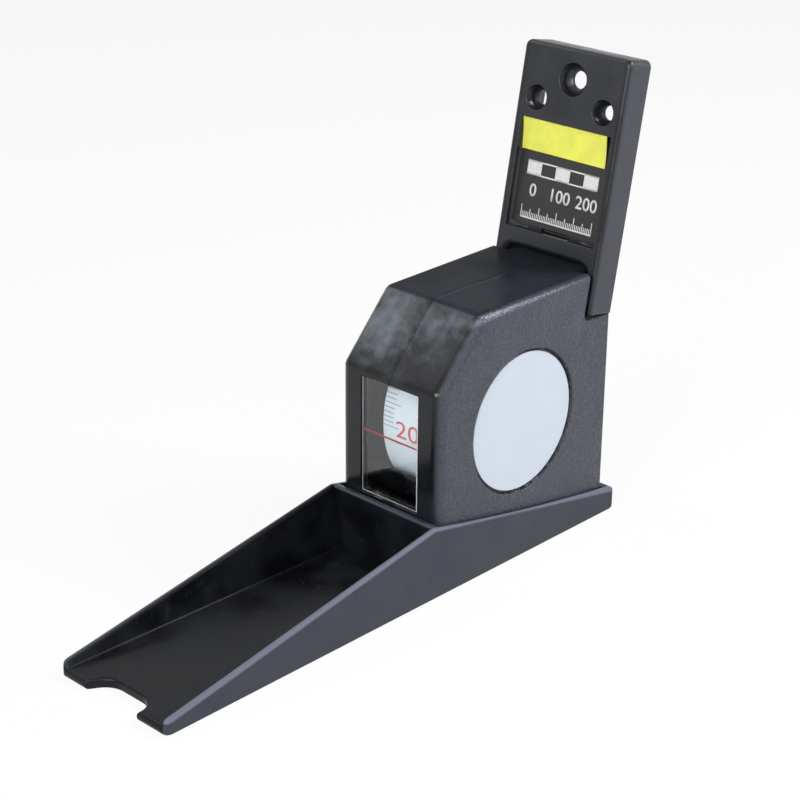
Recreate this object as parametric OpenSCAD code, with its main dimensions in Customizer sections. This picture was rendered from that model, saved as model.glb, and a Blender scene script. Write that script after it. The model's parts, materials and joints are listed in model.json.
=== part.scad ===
// Wall stadiometer: a sliding head with a retracting tape, hung from a wall plate.
// +Z is up the wall, +Y points into the wall, the head's tray reaches out along -Y.
// The origin lies under the tray, below the middle of the case's back.

/* [Head tray] */
// How far the tray reaches out in front of the case's back
tray_reach = 161; // [140:0.1:180]
// How far the tray stands out behind the case's back, towards the wall
tray_tail = 4.6; // [3:0.1:8]
// Height of the side walls at their front tips
tip_h = 3.8; // [3.6:0.1:6]
// Height of the side walls at their peak, by the case's front
peak_h = 20.4; // [17:0.1:24]
// Height of the side walls at the tail
tail_h = 6.9; // [5:0.1:9]
// How far the falling rear rim hangs below a straight line
rim_sag = 0.9; // [0:0.1:2]
// Thickness of the side walls at the rim
rim_t = 1.7; // [1.2:0.1:2.2]
// Extra half width of the tray at its front tip
tip_flare = 0.8; // [0:0.1:2]
// Thickness of the floor at the front lip
lip_t = 2.6; // [2:0.1:3.2]
// Height of the floor at the foot of the cross wall
floor_rear_h = 3.8; // [3.2:0.1:5]
// How far the floor's edge lies inside the rim at the front
floor_in_front = 2.6; // [1:0.1:4]
// How far the floor's edge lies inside the rim at the cross wall
floor_in_rear = 5.4; // [2:0.1:7]
// Radius of the cove between floor and walls
cove_r = 1.6; // [0.5:0.1:2.5]
// Width of the finger notch in the front lip
notch_w = 17.6; // [15:0.1:20]
// Depth of the finger notch
notch_d = 5.8; // [5.6:0.1:8]
// How far the notch lies to the right of the tray's middle
notch_x = 0.6; // [-2:0.1:2]
// Thickness of the cross wall in front of the case
cross_t = 1.5; // [1:0.1:2]
// Thickness of the tray under the case
bed_t = 2; // [1.8:0.1:3]

/* [Case] */
// Width of the case over both halves
case_w = 35.2; // [33:0.1:40]
// Depth of the case, front to back
case_d = 67.8; // [66:0.1:76]
// Height of the case's neck above the ledges
neck_h = 13.1; // [12:0.1:18]
// Height at which the front chamfer starts
chamfer_z = 55.4; // [54.5:0.1:60]
// How far the front chamfer runs back
chamfer_d = 16; // [10:0.1:20]
// Radius of the outer edges
case_r = 3; // [2:0.1:4]
// Wall thickness of the case
wall = 2; // [1.6:0.1:2.4]
// Height of the ledges that the wall plate's legs stand on
ledge_z = 59.9; // [56:0.1:62]
// Depth of the ledges from the back
ledge_d = 11.6; // [11:0.1:12]
// Radius between the ledges and the notches' front walls
ledge_r = 2.2; // [0.5:0.1:2.4]
// Depth of the joint line's groove
seam_d = 0.25; // [0.1:0.05:0.5]

/* [Window] */
// Width of the window opening
window_w = 20.2; // [16:0.1:22]
// Height of the window's sill
sill_z = 20.6; // [20.5:0.1:24]
// Height of the window opening
window_h = 33; // [26:0.1:33]
// Thickness of the clear pane
pane_t = 1.5; // [1:0.1:2]
// How far the pane reaches behind the frame on each side
pane_lap = 1.2; // [0.8:0.1:1.5]
// Height of the chamber's inner wall behind the foot of the pane
chin_z = 26.4; // [22:0.1:30]
// How far the pane is set back behind the case's front
pane_set = 0.6; // [0.4:0.1:1]
// Height of the reading line
line_z = 38; // [34:0.1:44]
// Thickness of the reading line
line_t = 0.5; // [0.3:0.1:0.8]

/* [Side discs] */
// Diameter of the plain discs in the case's sides
disc_dia = 38.6; // [36:0.1:40]
// Thickness of a disc
disc_t = 0.8; // [0.5:0.1:1]
// Depth of the recess that holds a disc
recess_d = 1.4; // [1.1:0.1:1.6]
// Gap round a disc
disc_gap = 0.9; // [0.3:0.1:1.2]
// Distance of the spool's axis in front of the case's back
spool_y = 34.7; // [34:0.1:36]
// Height of the spool's axis
spool_z = 38.6; // [38:0.1:40]

/* [Tape and spool] */
// Width of the tape
tape_w = 16; // [12:0.1:16.4]
// Thickness of the tape
tape_t = 0.3; // [0.2:0.05:0.4]
// Outer radius of the wound tape
coil_r = 26.4; // [25:0.1:27]
// Radius of the drum under the tape
drum_r = 22.4; // [20:0.1:23]
// Thickness of the drum's rim
rim_wall = 1.8; // [1.4:0.1:2.2]
// Thickness of the drum's flanges
flange_t = 1.2; // [0.8:0.1:1.6]
// How far the flanges stand above the drum's rim
flange_h = 2.2; // [1:0.1:3]
// Gap between the tape's edges and the flanges
tape_side_gap = 0.2; // [0.1:0.05:0.5]
// Diameter of the fixed spindle
spindle_dia = 6; // [5:0.1:8]
// Radial running clearance of the drum on its spindle
run_gap = 0.08; // [0.04:0.01:0.1]
// Thickness of the spring strip
strip_t = 0.5; // [0.4:0.05:0.7]
// Turns in the spring
spring_turns = 8; // [5:1:9]
// How far in front of the case's back the tape leaves the case
exit_y = 2.5; // [2.4:0.1:2.8]
// Height above the ledges at which the free tape starts
free_up = 6.1; // [4:0.1:8]

/* [Wall plate] */
// How far the plate leans back while it stands in the case
lean = 10.5; // [8:0.1:11]
// Height of the plate over its legs
plate_h = 68.2; // [62:0.1:74]
// Width of the plate
plate_w = 36; // [35.2:0.1:37]
// Thickness of the plate
plate_t = 9; // [8.4:0.1:9.2]
// Width of one leg
leg_w = 3.4; // [3:0.1:3.7]
// Height of the legs below the bar
leg_h = 12.8; // [12.6:0.1:13.2]
// Radius of the plate's front edges
plate_r = 1.2; // [0.8:0.1:1.6]
// Radius of the plate's upper corners
corner_r = 2; // [1.4:0.1:4]
// Thickness of the plate's front wall
face_t = 1.5; // [1.2:0.1:1.5]
// Width of the label pocket
pocket_w = 30.6; // [28:0.1:31]
// Height of the label pocket
pocket_h = 30; // [27:0.1:32]
// Height of the bar below the pocket
bar_h = 4.8; // [4.4:0.1:6]
// Depth of the label pocket
pocket_d = 2.5; // [2:0.1:2.8]
// Diameter of the middle screw's recess
mid_head_dia = 8.8; // [8:0.1:9.6]
// Diameter of the middle screw hole
mid_hole_dia = 4.8; // [4:0.1:5.4]
// Height of the middle screw hole above the legs' feet
mid_hole_h = 60; // [58:0.1:60.5]
// Diameter of the side screws' recesses
side_head_dia = 6.7; // [6:0.1:7.4]
// Diameter of the side screw holes
side_hole_dia = 3.9; // [3.4:0.1:4.4]
// Distance between the two side screw holes
side_hole_gap = 22.6; // [21:0.1:23]
// Height of the side screw holes above the legs' feet
side_hole_h = 53.3; // [52.5:0.1:54]
// Depth of the screw recesses
head_d = 3; // [2.4:0.1:3.4]
// Thickness left under the screw recesses
seat_t = 1; // [0.8:0.1:1.4]
// Diameter of the pin that the tape hangs on
pin_dia = 2; // [1.6:0.1:2.2]
// Length of that pin
pin_len = 20.4; // [19.5:0.1:22]

/* [Label] */
// Height of the dark label card
card_h = 19.9; // [17:0.1:20.5]
// How far the card stands above the foot of the pocket
card_foot = 1.1; // [0.2:0.1:1.6]
// Thickness of the label card
card_t = 0.4; // [0.2:0.1:0.6]
// Width of the yellow strip
strip_w = 28.6; // [26:0.1:30]
// Tilt of the yellow strip, its upper edge forward
strip_tilt = 9; // [4:0.5:12]

/* [Hidden] */
$fn = 64;

black_plastic = "#3b3d43";
grained_plastic = "#474c53";
far = 300;
eps = 0.01;

// Clearances between pieces
fit_gap = 0.1;
slot_gap = 0.3;

// Tray
half_w = case_w / 2;
plate_half = plate_w / 2;
case_seat_gap = 0.15;
tail_half = half_w + case_seat_gap + 1.15;
tip_half = tail_half + tip_flare;
peak_y = case_d + fit_gap + cross_t + 0.9;
case_z = bed_t;
tail_r = 2.2;
tip_r = 1.6;
rear_wall_gap = 0.1;

// Case
case_h = ledge_z + neck_h;
back_r = 0.9;
case_corners = [[0, case_z], [0, case_h], [chamfer_d - case_d, case_h],
    [-case_d, chamfer_z], [-case_d, case_z]];
neck_half = plate_half - leg_w - slot_gap;
inner_half = half_w - wall - 0.2;
pad_face = half_w - recess_d - 1.6;
spool_c = [-spool_y, spool_z];
ring_r = coil_r + 1.8;
ring_t = 1.2;

// Screws: places as [y, z]
case_screw_at = [[-57.5, 59.5], [-16.9, 67], [-6, 9.5], [-61.2, 11]];
case_screw_r = 1.2;
case_head_r = 2.5;
case_boss_r = 2.9;
head_sink = 7;
paddle_screw_at = [[-9, -13.5], [9, -13.5], [-9, -55], [9, -55]];
paddle_head_r = 2.4;
paddle_head_h = 0.9;
paddle_boss_h = 7;
paddle_shank = 5;
case_bite = 8;
screw_tip = 1.2;
bore_over = 1.5;

// Spool
drum_half = tape_w / 2 + tape_side_gap;
flange_r = drum_r + flange_h;
spring_r0 = spindle_dia / 2 + 1.9;
spring_r1 = drum_r - rim_wall - 0.7;
spring_half = drum_half - flange_t - 0.3;

// Path of the tape from the coil to the neck of the case
run_r = coil_r + tape_t / 2 + 0.05;
free_z = ledge_z + free_up;
neck_z = case_h - 3;
neck_from = [spool_y - exit_y, neck_z - spool_z];
neck_far = norm(neck_from);
leave_a = atan2(neck_from[1], neck_from[0]) - acos(run_r / neck_far);
leave = [run_r * cos(leave_a) - spool_y, run_r * sin(leave_a) + spool_z];

// Wall plate, in its own flat pose: x across, y height above the feet, z out of the wall
foot_back = 0.5;
foot_lift = 0.1;
plate_foot = [0, -foot_back, ledge_z + foot_lift];
leg_in = plate_half - leg_w;
bar_z = leg_h;
pocket_z = bar_z + bar_h;
floor_t = 1.6;
floor_back = plate_t - pocket_d - floor_t;
inner_r = 3;
skin = 2.4;
pin_drop = 1.2;
pin_h = pocket_z - pin_drop;
pin_out = (exit_y - foot_back + pin_h * sin(lean)) / cos(lean);
loop_gap = 0.08;
loop_t = 0.5;
loop_w = 9;
slot_w = loop_w + 0.6;
slot_h = 2.2;
rib_t = 1.5;
back_rib_t = 1.2;
back_set = 0.4;
back_t = 1.2;
channel_half = tape_w / 2 + 1.4;

// The pin's place in the standing pose
pin_y = -exit_y;
pin_z = plate_foot[2] + pin_h * cos(lean) + pin_out * sin(lean);
clip_w = 12;
clip_foot = pin_z - 3.8;
clip_t = 0.4;

// Points of an outline whose corners are rounded with the radii rs, n steps each
function fillet(ps, rs, n = 6) = [for (i = [0:len(ps) - 1])
    let (c = ps[i], a = ps[(i + len(ps) - 1) % len(ps)], b = ps[(i + 1) % len(ps)],
        u = (a - c) / norm(a - c), v = (b - c) / norm(b - c), r = rs[i])
    each r == 0 ? [c] :
        let (half = acos(u * v) / 2, m = c + (u + v) / norm(u + v) * r / sin(half),
            p = c + u * r / tan(half) - m, q = c + v * r / tan(half) - m,
            a0 = atan2(p[1], p[0]), turn = (atan2(q[1], q[0]) - a0 + 540) % 360 - 180)
        [for (k = [0:n]) m + r * [cos(a0 + turn * k / n), sin(a0 + turn * k / n)]]];

// The same radius for every corner
function even(ps, r, n = 6) = fillet(ps, [for (p = ps) r], n);

// A [y, z] outline extruded across, from x0 to x1
module across(x0, x1) {
    translate([x0, 0, 0]) rotate([90, 0, 90]) linear_extrude(x1 - x0) children();
}

// A skin stretched from outline a at y = ya back to outline b at y = yb, both [x, z]
module loft(a, ya, b, yb) {
    n = len(a);
    polyhedron(
        [for (p = a) [p[0], ya, p[1]], for (p = b) [p[0], yb, p[1]]],
        [for (i = [1:n - 2]) [0, i + 1, i], for (i = [1:n - 2]) [n, n + i, n + i + 1],
            for (i = [0:n - 1]) [i, (i + 1) % n, n + (i + 1) % n],
            for (i = [0:n - 1]) [i, n + (i + 1) % n, n + i]]);
}

// Places its children in the standing plate, drawn flat as seen from the front
module on_plate() {
    translate(plate_foot) rotate([90 - lean, 0, 0]) children();
}

// A cylinder along x, centred on x0..x1
module bar_x(r, x0, x1, fn = 48) {
    translate([x0, 0, 0]) rotate([0, 90, 0]) cylinder(r = r, h = x1 - x0, $fn = fn);
}

// Half width of the tray at a distance in front of the back
function tray_half(y) = tail_half + tip_flare * (y + tray_tail) / (tray_reach + tray_tail);

module tray_side() {
    chord = peak_y + tray_tail;
    sag = function (t) rim_sag * 4 * t * (1 - t);
    rear_rim = [for (k = [1:7]) let (t = k / 8)
        [-peak_y + chord * t, peak_h + (tail_h - peak_h) * t - sag(t)]];
    ps = concat([[-tray_reach, 0], [-tray_reach, tip_h], [-peak_y, peak_h]], rear_rim,
        [[tray_tail, tail_h], [tray_tail, 0]]);
    rs = concat([1.2, tip_r, 1.5], [for (p = rear_rim) 0], [tail_r, tail_r - 0.4]);
    polygon(fillet(ps, rs));
}

module tray_plan() {
    polygon(fillet([[-tip_half, -tray_reach], [-tail_half, tray_tail],
        [tail_half, tray_tail], [tip_half, -tray_reach]], [2.4, 1.2, 1.2, 2.4]));
}

// Section of the hollow tray at one end, open at the top
function hollow(rim_half, rim_z, floor_half, floor_z) = fillet([[-floor_half, floor_z],
    [floor_half, floor_z], [rim_half, rim_z], [rim_half, 40], [-rim_half, 40],
    [-rim_half, rim_z]], [cove_r, cove_r, 0, 0, 0, 0], 5);

module tray_hollow() {
    y0 = -peak_y;
    y1 = -tray_reach - 5;
    run = tray_reach - peak_y;
    over = 5 / run;
    rear = tray_half(peak_y) - rim_t;
    front = tray_half(tray_reach + 5) - rim_t;
    slope = (tip_h + 0.3 - peak_h) * over;
    loft(hollow(front, tip_h + 0.3 + slope, front - floor_in_front, lip_t), y1,
        hollow(rear, peak_h, rear - floor_in_rear, floor_rear_h), y0);
}

// Finger notch in the front lip: a scoop that opens wider to the left, and hooks in at the right
module finger_notch() {
    half = notch_w / 2;
    mouth = 3.5;
    reach = 4;
    ps = [[-half - 2 * mouth, -reach], [-half - 2 * mouth, 0], [-half - mouth / 2, 0],
        [-half + mouth / 2, notch_d], [half, notch_d], [half, 0], [half + mouth, 0],
        [half + mouth, -reach]];
    translate([notch_x, -tray_reach, -1]) linear_extrude(lip_t + tip_h + 2)
        polygon(fillet(ps, [0, 0, mouth, 6.4, 5, 0.6, 0, 0], 8));
}

module head_paddle() {
    color(black_plastic) difference() {
        intersection() {
            linear_extrude(peak_h + 1) tray_plan();
            across(-tip_half - 1, tip_half + 1) tray_side();
        }
        tray_hollow();
        finger_notch();
        // Bed of the case, between the cross wall and the tail
        translate([-half_w - case_seat_gap, -case_d - fit_gap, bed_t])
            cube([case_w + 2 * case_seat_gap, case_d + fit_gap + rear_wall_gap, far]);
        for (p = paddle_screw_at) translate([p[0], p[1], 0]) {
            translate([0, 0, -1]) cylinder(r = case_screw_r + 0.3, h = bed_t + 2, $fn = 32);
            translate([0, 0, -eps])
                cylinder(r = paddle_head_r + 0.2, h = paddle_head_h + 2 * fit_gap, $fn = 32);
        }
    }
}

// The case as a block with rounded outer edges; side is -1 or 1
module case_block(side) {
    hull() for (i = [0:len(case_corners) - 1]) {
        r = case_corners[i][0] == 0 ? back_r : case_r;
        p = even_in(case_corners, r)[i];
        translate([side * (half_w - r), p[0], p[1]]) sphere(r = r, $fn = 32);
        translate([side * seam_d, p[0], p[1]]) rotate([0, side * 90, 0])
            cylinder(r = r, h = 1, $fn = 32);
        translate([0, p[0], p[1]]) rotate([0, side * 90, 0])
            cylinder(r = r - seam_d, h = 1, $fn = 32);
    }
}

// Corners of a convex outline moved inwards by d
function even_in(ps, d) = [for (i = [0:len(ps) - 1])
    let (c = ps[i], a = ps[(i + len(ps) - 1) % len(ps)], b = ps[(i + 1) % len(ps)],
        u = (a - c) / norm(a - c), v = (b - c) / norm(b - c), half = acos(u * v) / 2)
    c + (u + v) / norm(u + v) * d / sin(half)];

// Room inside one half, with the chamber ring, the screw posts and the spindle's pad left in
module case_room(side) {
    inner = even_in(case_corners, wall);
    difference() {
        across(min(0, side * inner_half), max(0, side * inner_half))
            polygon(even(inner, case_r - wall + 0.6));
        // Neck of the notches for the plate's legs
        translate([side * (neck_half - wall + 20), -ledge_d / 2, ledge_z + 20])
            cube([40, ledge_d + 2 * wall, 40 + 2 * wall], center = true);
        // Chamber ring, open towards the window and towards the neck
        translate([0, spool_c[0], spool_c[1]]) difference() {
            bar_x(ring_r + ring_t, -inner_half, inner_half, 96);
            bar_x(ring_r, -far, far, 96);
            translate([-far, -far, chin_z - spool_z])
                cube([2 * far, far, sill_z + window_h + 2 - chin_z]);
            translate([-far, 5, 1]) cube([2 * far, far, far]);
        }
        for (p = case_screw_at) translate([0, p[0], p[1]]) bar_x(case_boss_r, -far, far);
        // Pad behind the disc, with the spindle's socket
        translate([0, spool_c[0], spool_c[1]]) difference() {
            bar_x(disc_dia / 2 + disc_gap + wall, side < 0 ? -inner_half - 1 : pad_face,
                side < 0 ? -pad_face : inner_half + 1, 96);
        }
        // Posts for the tray's screws
        for (p = paddle_screw_at) translate([p[0], p[1], 0])
            cylinder(r = case_boss_r, h = case_z + paddle_boss_h, $fn = 48);
    }
}

module window_hole() {
    translate([-window_w / 2, -case_d - 1, sill_z]) cube([window_w, wall + 6, window_h]);
}

// Slot for the pane behind the window's frame
module pane_slot() {
    translate([-window_w / 2 - pane_lap - fit_gap, -case_d + pane_set, sill_z - pane_lap - fit_gap])
        cube([window_w + 2 * (pane_lap + fit_gap), pane_t + fit_gap,
            window_h + 2 * (pane_lap + fit_gap)]);
}

// Frame that the pane stands in, inside the front wall
module pane_frame(side) {
    d = pane_set + pane_t + fit_gap + 1.1;
    w = window_w / 2 + pane_lap + 1.2;
    intersection() {
        translate([side < 0 ? -w : 0, -case_d + 0.3, sill_z - pane_lap - 1.2])
            cube([w, d, window_h + 2 * pane_lap + 2.4]);
        case_block(side);
    }
}

// Notch for one leg of the wall plate, its front wall leaning as the plate does, with the
// neck's upper edge rounded beside it
module leg_notch(side) {
    r = inner_r + 0.4;
    ps = [[neck_half, ledge_z], [far, ledge_z], [far, far], [neck_half - r, far],
        [neck_half - r, case_h]];
    arc = [for (a = [85:-10:5]) [neck_half - r, case_h - r] + r * [cos(a), sin(a)]];
    top = case_h + 5;
    back = 10;
    intersection() {
        mirror([side < 0 ? 1 : 0, 0, 0]) translate([0, back + 5, 0]) rotate([90, 0, 0])
            linear_extrude(ledge_d + back + 10) polygon(concat(ps, arc, [[neck_half, case_h - r]]));
        across(-far, far) polygon(fillet([[back, ledge_z], [back, top],
            [(top - ledge_z) * tan(lean) - ledge_d, top], [-ledge_d, ledge_z]], [0, 0, 0, ledge_r]));
    }
}

module case_half(side) {
    difference() {
        union() {
            difference() {
                case_block(side);
                case_room(side);
            }
            pane_frame(side);
        }
        window_hole();
        pane_slot();
        leg_notch(side);
        // Mouth for the tape
        translate([-tape_w / 2 - slot_gap, -exit_y - tape_t / 2 - slot_gap, free_z - 8])
            cube([tape_w + 2 * slot_gap, tape_t + 2 * slot_gap, 20]);
        // Recess for the disc and socket for the spindle
        translate([side * (half_w - recess_d), spool_c[0], spool_c[1]]) rotate([0, side * 90, 0])
            cylinder(r = disc_dia / 2 + disc_gap, h = 5, $fn = 128);
        translate([0, spool_c[0], spool_c[1]])
            bar_x(spindle_dia / 2, -pad_face - 1, pad_face + 1);
        for (p = case_screw_at) translate([0, p[0], p[1]]) {
            if (side < 0) {
                bar_x(case_screw_r + 0.3, -far, 1);
                bar_x(case_head_r + 0.2, -far, -half_w + head_sink);
            } else bar_x(case_screw_r, -1, case_bite + bore_over);
        }
        for (p = paddle_screw_at) translate([p[0], p[1], 0])
            cylinder(r = case_screw_r, h = case_z + paddle_boss_h - 1, $fn = 32);
    }
}

module case_left() {
    color(grained_plastic) case_half(-1);
}

module case_right() {
    color(grained_plastic) case_half(1);
}

module window() {
    color([0.85, 0.93, 0.97, 0.35])
        translate([-window_w / 2 - pane_lap, -case_d + pane_set, sill_z - pane_lap])
            cube([window_w + 2 * pane_lap, pane_t, window_h + 2 * pane_lap]);
}

// Red line on the back of the pane, right across the opening
module reading_line() {
    color("#b8322f") translate([-window_w / 2, -case_d + pane_set + pane_t, line_z - line_t / 2])
        cube([window_w, 0.1, line_t]);
}

module disc(side) {
    color("#d7dfea") translate([side * (half_w - recess_d), spool_c[0], spool_c[1]])
        rotate([0, side * 90, 0]) cylinder(r = disc_dia / 2, h = disc_t, $fn = 128);
}

module disc_left() {
    disc(-1);
}

module disc_right() {
    disc(1);
}

// A self-tapping screw along +z, its head's top at the origin and its shank below
module screw(head_r, head_h, shank_r, shank_l) {
    difference() {
        translate([0, 0, -head_h]) cylinder(r = head_r, h = head_h, $fn = 32);
        for (a = [0, 90]) rotate([0, 0, a]) translate([-head_r * 0.55, -0.25, -0.7])
            cube([head_r * 1.1, 0.5, 1]);
    }
    translate([0, 0, -head_h - shank_l]) cylinder(r = shank_r, h = shank_l + 0.2, $fn = 32);
    translate([0, 0, -head_h - shank_l - screw_tip])
        cylinder(r1 = 0.3, r2 = shank_r, h = screw_tip + eps, $fn = 32);
}

module case_screws() {
    head_h = 1.8;
    color("silver") for (p = case_screw_at)
        translate([-half_w + head_sink - head_h, p[0], p[1]]) rotate([0, -90, 0])
            screw(case_head_r, head_h, case_screw_r, half_w - head_sink + case_bite - screw_tip);
}

module paddle_screws() {
    color("silver") for (p = paddle_screw_at) translate([p[0], p[1], fit_gap])
        rotate([180, 0, 0]) screw(paddle_head_r, paddle_head_h, case_screw_r, paddle_shank);
}

module spindle() {
    color("silver") translate([0, spool_c[0], spool_c[1]]) difference() {
        bar_x(spindle_dia / 2, -pad_face - 1, pad_face + 1);
        // Slit that holds the spring's inner end
        translate([-spring_half, -strip_t / 2 - 0.05, -far])
            cube([2 * spring_half, strip_t + 0.1, far]);
    }
}

module drum() {
    color("#e4e2da") translate([0, spool_c[0], spool_c[1]]) difference() {
        union() {
            bar_x(drum_r, -drum_half - flange_t, drum_half, 96);
            bar_x(flange_r, -drum_half - flange_t, -drum_half, 96);
        }
        bar_x(drum_r - rim_wall, -drum_half, drum_half + 1, 96);
        bar_x(spindle_dia / 2 + run_gap, -far, far);
    }
}

module drum_cap() {
    color("#d9d6cc") translate([0, spool_c[0], spool_c[1]]) difference() {
        union() {
            bar_x(flange_r, drum_half, drum_half + flange_t, 96);
            bar_x(drum_r - rim_wall, drum_half - flange_t, drum_half + 0.1, 96);
        }
        bar_x(spindle_dia / 2 + run_gap, -far, far);
        // Light holes in the cap
        for (a = [30:60:359]) rotate([a, 0, 0]) translate([0, 12, 0]) bar_x(3.4, -far, far);
    }
}

// Spiral strip with its inner end bent into the spindle's slit
module power_spring() {
    steps = 24 * spring_turns;
    pitch = (spring_r1 - spring_r0) / spring_turns;
    s = strip_t / 2;
    at = function (k, t) let (a = -90 + 360 * k / 24,
        r = spring_r0 + pitch * k / 24 + t) [r * cos(a), r * sin(a)];
    color("#9aa3ad") translate([-spring_half, spool_c[0], spool_c[1]]) rotate([90, 0, 90])
        linear_extrude(2 * spring_half) polygon(concat(
            [[-s, -1], [s, -1], [s, s - spring_r0]], [for (k = [1:steps]) at(k, -s)],
            [for (k = [steps:-1:1]) at(k, s)], [[-s, -s - spring_r0]]));
}

// Wound tape: its outline steps once, where the last turn ends
module tape_coil() {
    n = 120;
    r0 = coil_r - tape_t;
    color("#eef0ee") translate([-tape_w / 2, spool_c[0], spool_c[1]]) rotate([90, 0, 90])
        linear_extrude(tape_w) difference() {
            polygon([for (k = [0:n]) (r0 + tape_t * k / n)
                * [cos(leave_a + 360 * k / n), sin(leave_a + 360 * k / n)]]);
            circle(r = drum_r, $fn = 96);
        }
}

// Tape inside the case, from the coil to the neck
module tape_run() {
    t = tape_t / 2;
    color("#eef0ee") across(-tape_w / 2, tape_w / 2)
        polygon([[leave[0] - t, leave[1]], [leave[0] + t, leave[1]], [-exit_y + t, free_z - 4],
            [-exit_y + t, free_z], [-exit_y - t, free_z], [-exit_y - t, free_z - 4]]);
}

// Free tape from the neck to its clip; it lengthens as the head is drawn down
module tape_lead() {
    color("#eef0ee") translate([-tape_w / 2, -exit_y - tape_t / 2, free_z])
        cube([tape_w, tape_t, clip_foot + 1.9 - free_z]);
}

// Folded steel clip with a loop for the plate's pin
module tape_clip() {
    r = pin_dia / 2 + loop_gap;
    top = clip_foot + 2.2;
    color("#5c6066") difference() {
        union() {
            translate([-clip_w / 2, -exit_y - tape_t / 2 - clip_t, clip_foot])
                cube([clip_w, tape_t + 2 * clip_t, 2.2]);
            translate([-loop_w / 2, -exit_y - tape_t / 2 - clip_t, top - 0.1])
                cube([loop_w, tape_t + 2 * clip_t, pin_z - top + 0.1]);
            translate([0, pin_y, pin_z]) bar_x(r + loop_t, -loop_w / 2, loop_w / 2);
        }
        translate([0, pin_y, pin_z]) bar_x(r, -far, far);
        translate([-tape_w / 2 - 1, -exit_y - tape_t / 2, clip_foot - 1])
            cube([tape_w + 2, tape_t, 1 + 1.9]);
        for (x = [-1, 1]) translate([x * clip_w / 3, 0, clip_foot + 1.1]) rotate([90, 0, 0])
            cylinder(r = 0.6, h = 10, center = true, $fn = 24);
    }
}

module tape_rivets() {
    color("#b08d4a") for (x = [-1, 1])
        translate([x * clip_w / 3, -exit_y, clip_foot + 1.1]) rotate([90, 0, 0]) {
            cylinder(r = 0.6, h = tape_t + 2 * clip_t, center = true, $fn = 24);
            for (s = [-1, 1]) translate([0, 0, s * (tape_t / 2 + clip_t + 0.1)])
                cylinder(r = 0.85, h = 0.2, center = true, $fn = 24);
        }
}

// Outline of the plate: two legs, a bar and the face above
module plate_outline(inset = 0) {
    w = plate_half - inset;
    leg = leg_in + inset;
    ps = [[-w, inset], [-leg, inset], [-leg, bar_z + inset], [leg, bar_z + inset],
        [leg, inset], [w, inset], [w, plate_h - inset], [-w, plate_h - inset]];
    polygon(fillet(ps, [0.4, 0.4, inner_r, inner_r, 0.4, 0.4, corner_r, corner_r]));
}

module screw_cup(x, h, head_dia) {
    translate([x, h, plate_t - head_d - seat_t])
        cylinder(r = head_dia / 2 + 1.2, h = head_d + seat_t - 0.3);
}

module screw_hole(x, h, head_dia, hole_dia) {
    translate([x, h, plate_t - head_d]) cylinder(r = head_dia / 2, h = 10);
    translate([x, h, -1]) cylinder(r = hole_dia / 2, h = 20);
}

// The plate's shell: a hollow back with ribs, cups for the screws and pin bearings
module plate_shell() {
    hollow_w = leg_in + leg_w - skin;
    difference() {
        union() {
            linear_extrude(plate_t - plate_r) plate_outline();
            // Rounded front edges, in thin steps
            for (k = [0:4]) let (a = 18 * k, z = plate_r * sin(a), s = plate_r * (1 - cos(a)))
                translate([0, 0, plate_t - plate_r])
                    linear_extrude(plate_r * sin(min(90, a + 18))) plate_outline(s + 0.001);
        }
        // Hollow above and behind the pocket
        difference() {
            translate([-hollow_w, pocket_z - 0.6, -1])
                cube([2 * hollow_w, plate_h - pocket_z - skin + 0.6, plate_t - face_t + 1]);
            translate([-far, pocket_z - 0.6, floor_back])
                cube([2 * far, pocket_h + 1.2 + 0.6, far]);
        }
        // Channel for the tape behind the bar, closed at the plate's back by a thin wall
        translate([-channel_half, bar_z - 1, back_t])
            cube([2 * channel_half, bar_h + 2, plate_t - face_t - back_t]);
        translate([-channel_half, bar_z - 1, -1]) cube([2 * channel_half, bar_h / 2, back_t + 2]);
    }
}

module wall_plate() {
    color(black_plastic) on_plate() difference() {
        union() {
            plate_shell();
            screw_cup(0, mid_hole_h, mid_head_dia);
            for (s = [-1, 1]) screw_cup(s * side_hole_gap / 2, side_hole_h, side_head_dia);
            // Ribs across the hollow back
            for (k = [1, 2]) translate([-half_w + 1, pocket_z + pocket_h * k / 3, back_set])
                cube([case_w - 2, back_rib_t, floor_back]);
            for (s = [-1, 1]) translate([s * half_w / 3 - back_rib_t / 2, pocket_z + 6, back_set])
                cube([back_rib_t, pocket_h - 5, floor_back]);
            // Bearings for the pin, at both sides of the channel
            for (s = [-1, 1])
                translate([s * (channel_half + rib_t / 2) - rib_t / 2, bar_z + 0.5, back_set])
                    cube([rib_t, bar_h + 1, plate_t - face_t]);
        }
        // Label pocket
        translate([0, pocket_z + pocket_h / 2, plate_t - pocket_d])
            linear_extrude(10) square([pocket_w, pocket_h], center = true);
        // Slot at the foot of the pocket, over the clip's loop
        translate([-slot_w / 2, pocket_z - 0.5, back_t])
            cube([slot_w, slot_h, plate_t - pocket_d]);
        screw_hole(0, mid_hole_h, mid_head_dia, mid_hole_dia);
        for (s = [-1, 1]) screw_hole(s * side_hole_gap / 2, side_hole_h, side_head_dia, side_hole_dia);
        translate([0, pin_h, pin_out]) bar_x(pin_dia / 2, -pin_len / 2, pin_len / 2);
    }
}

module hinge_pin() {
    color("silver") on_plate() translate([0, pin_h, pin_out])
        bar_x(pin_dia / 2, -pin_len / 2, pin_len / 2);
}

module label_card() {
    color("#2b2a2a") on_plate()
        translate([-pocket_w / 2 + fit_gap, pocket_z + card_foot, plate_t - pocket_d])
            cube([pocket_w - 2 * fit_gap, card_h, card_t]);
}

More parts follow.
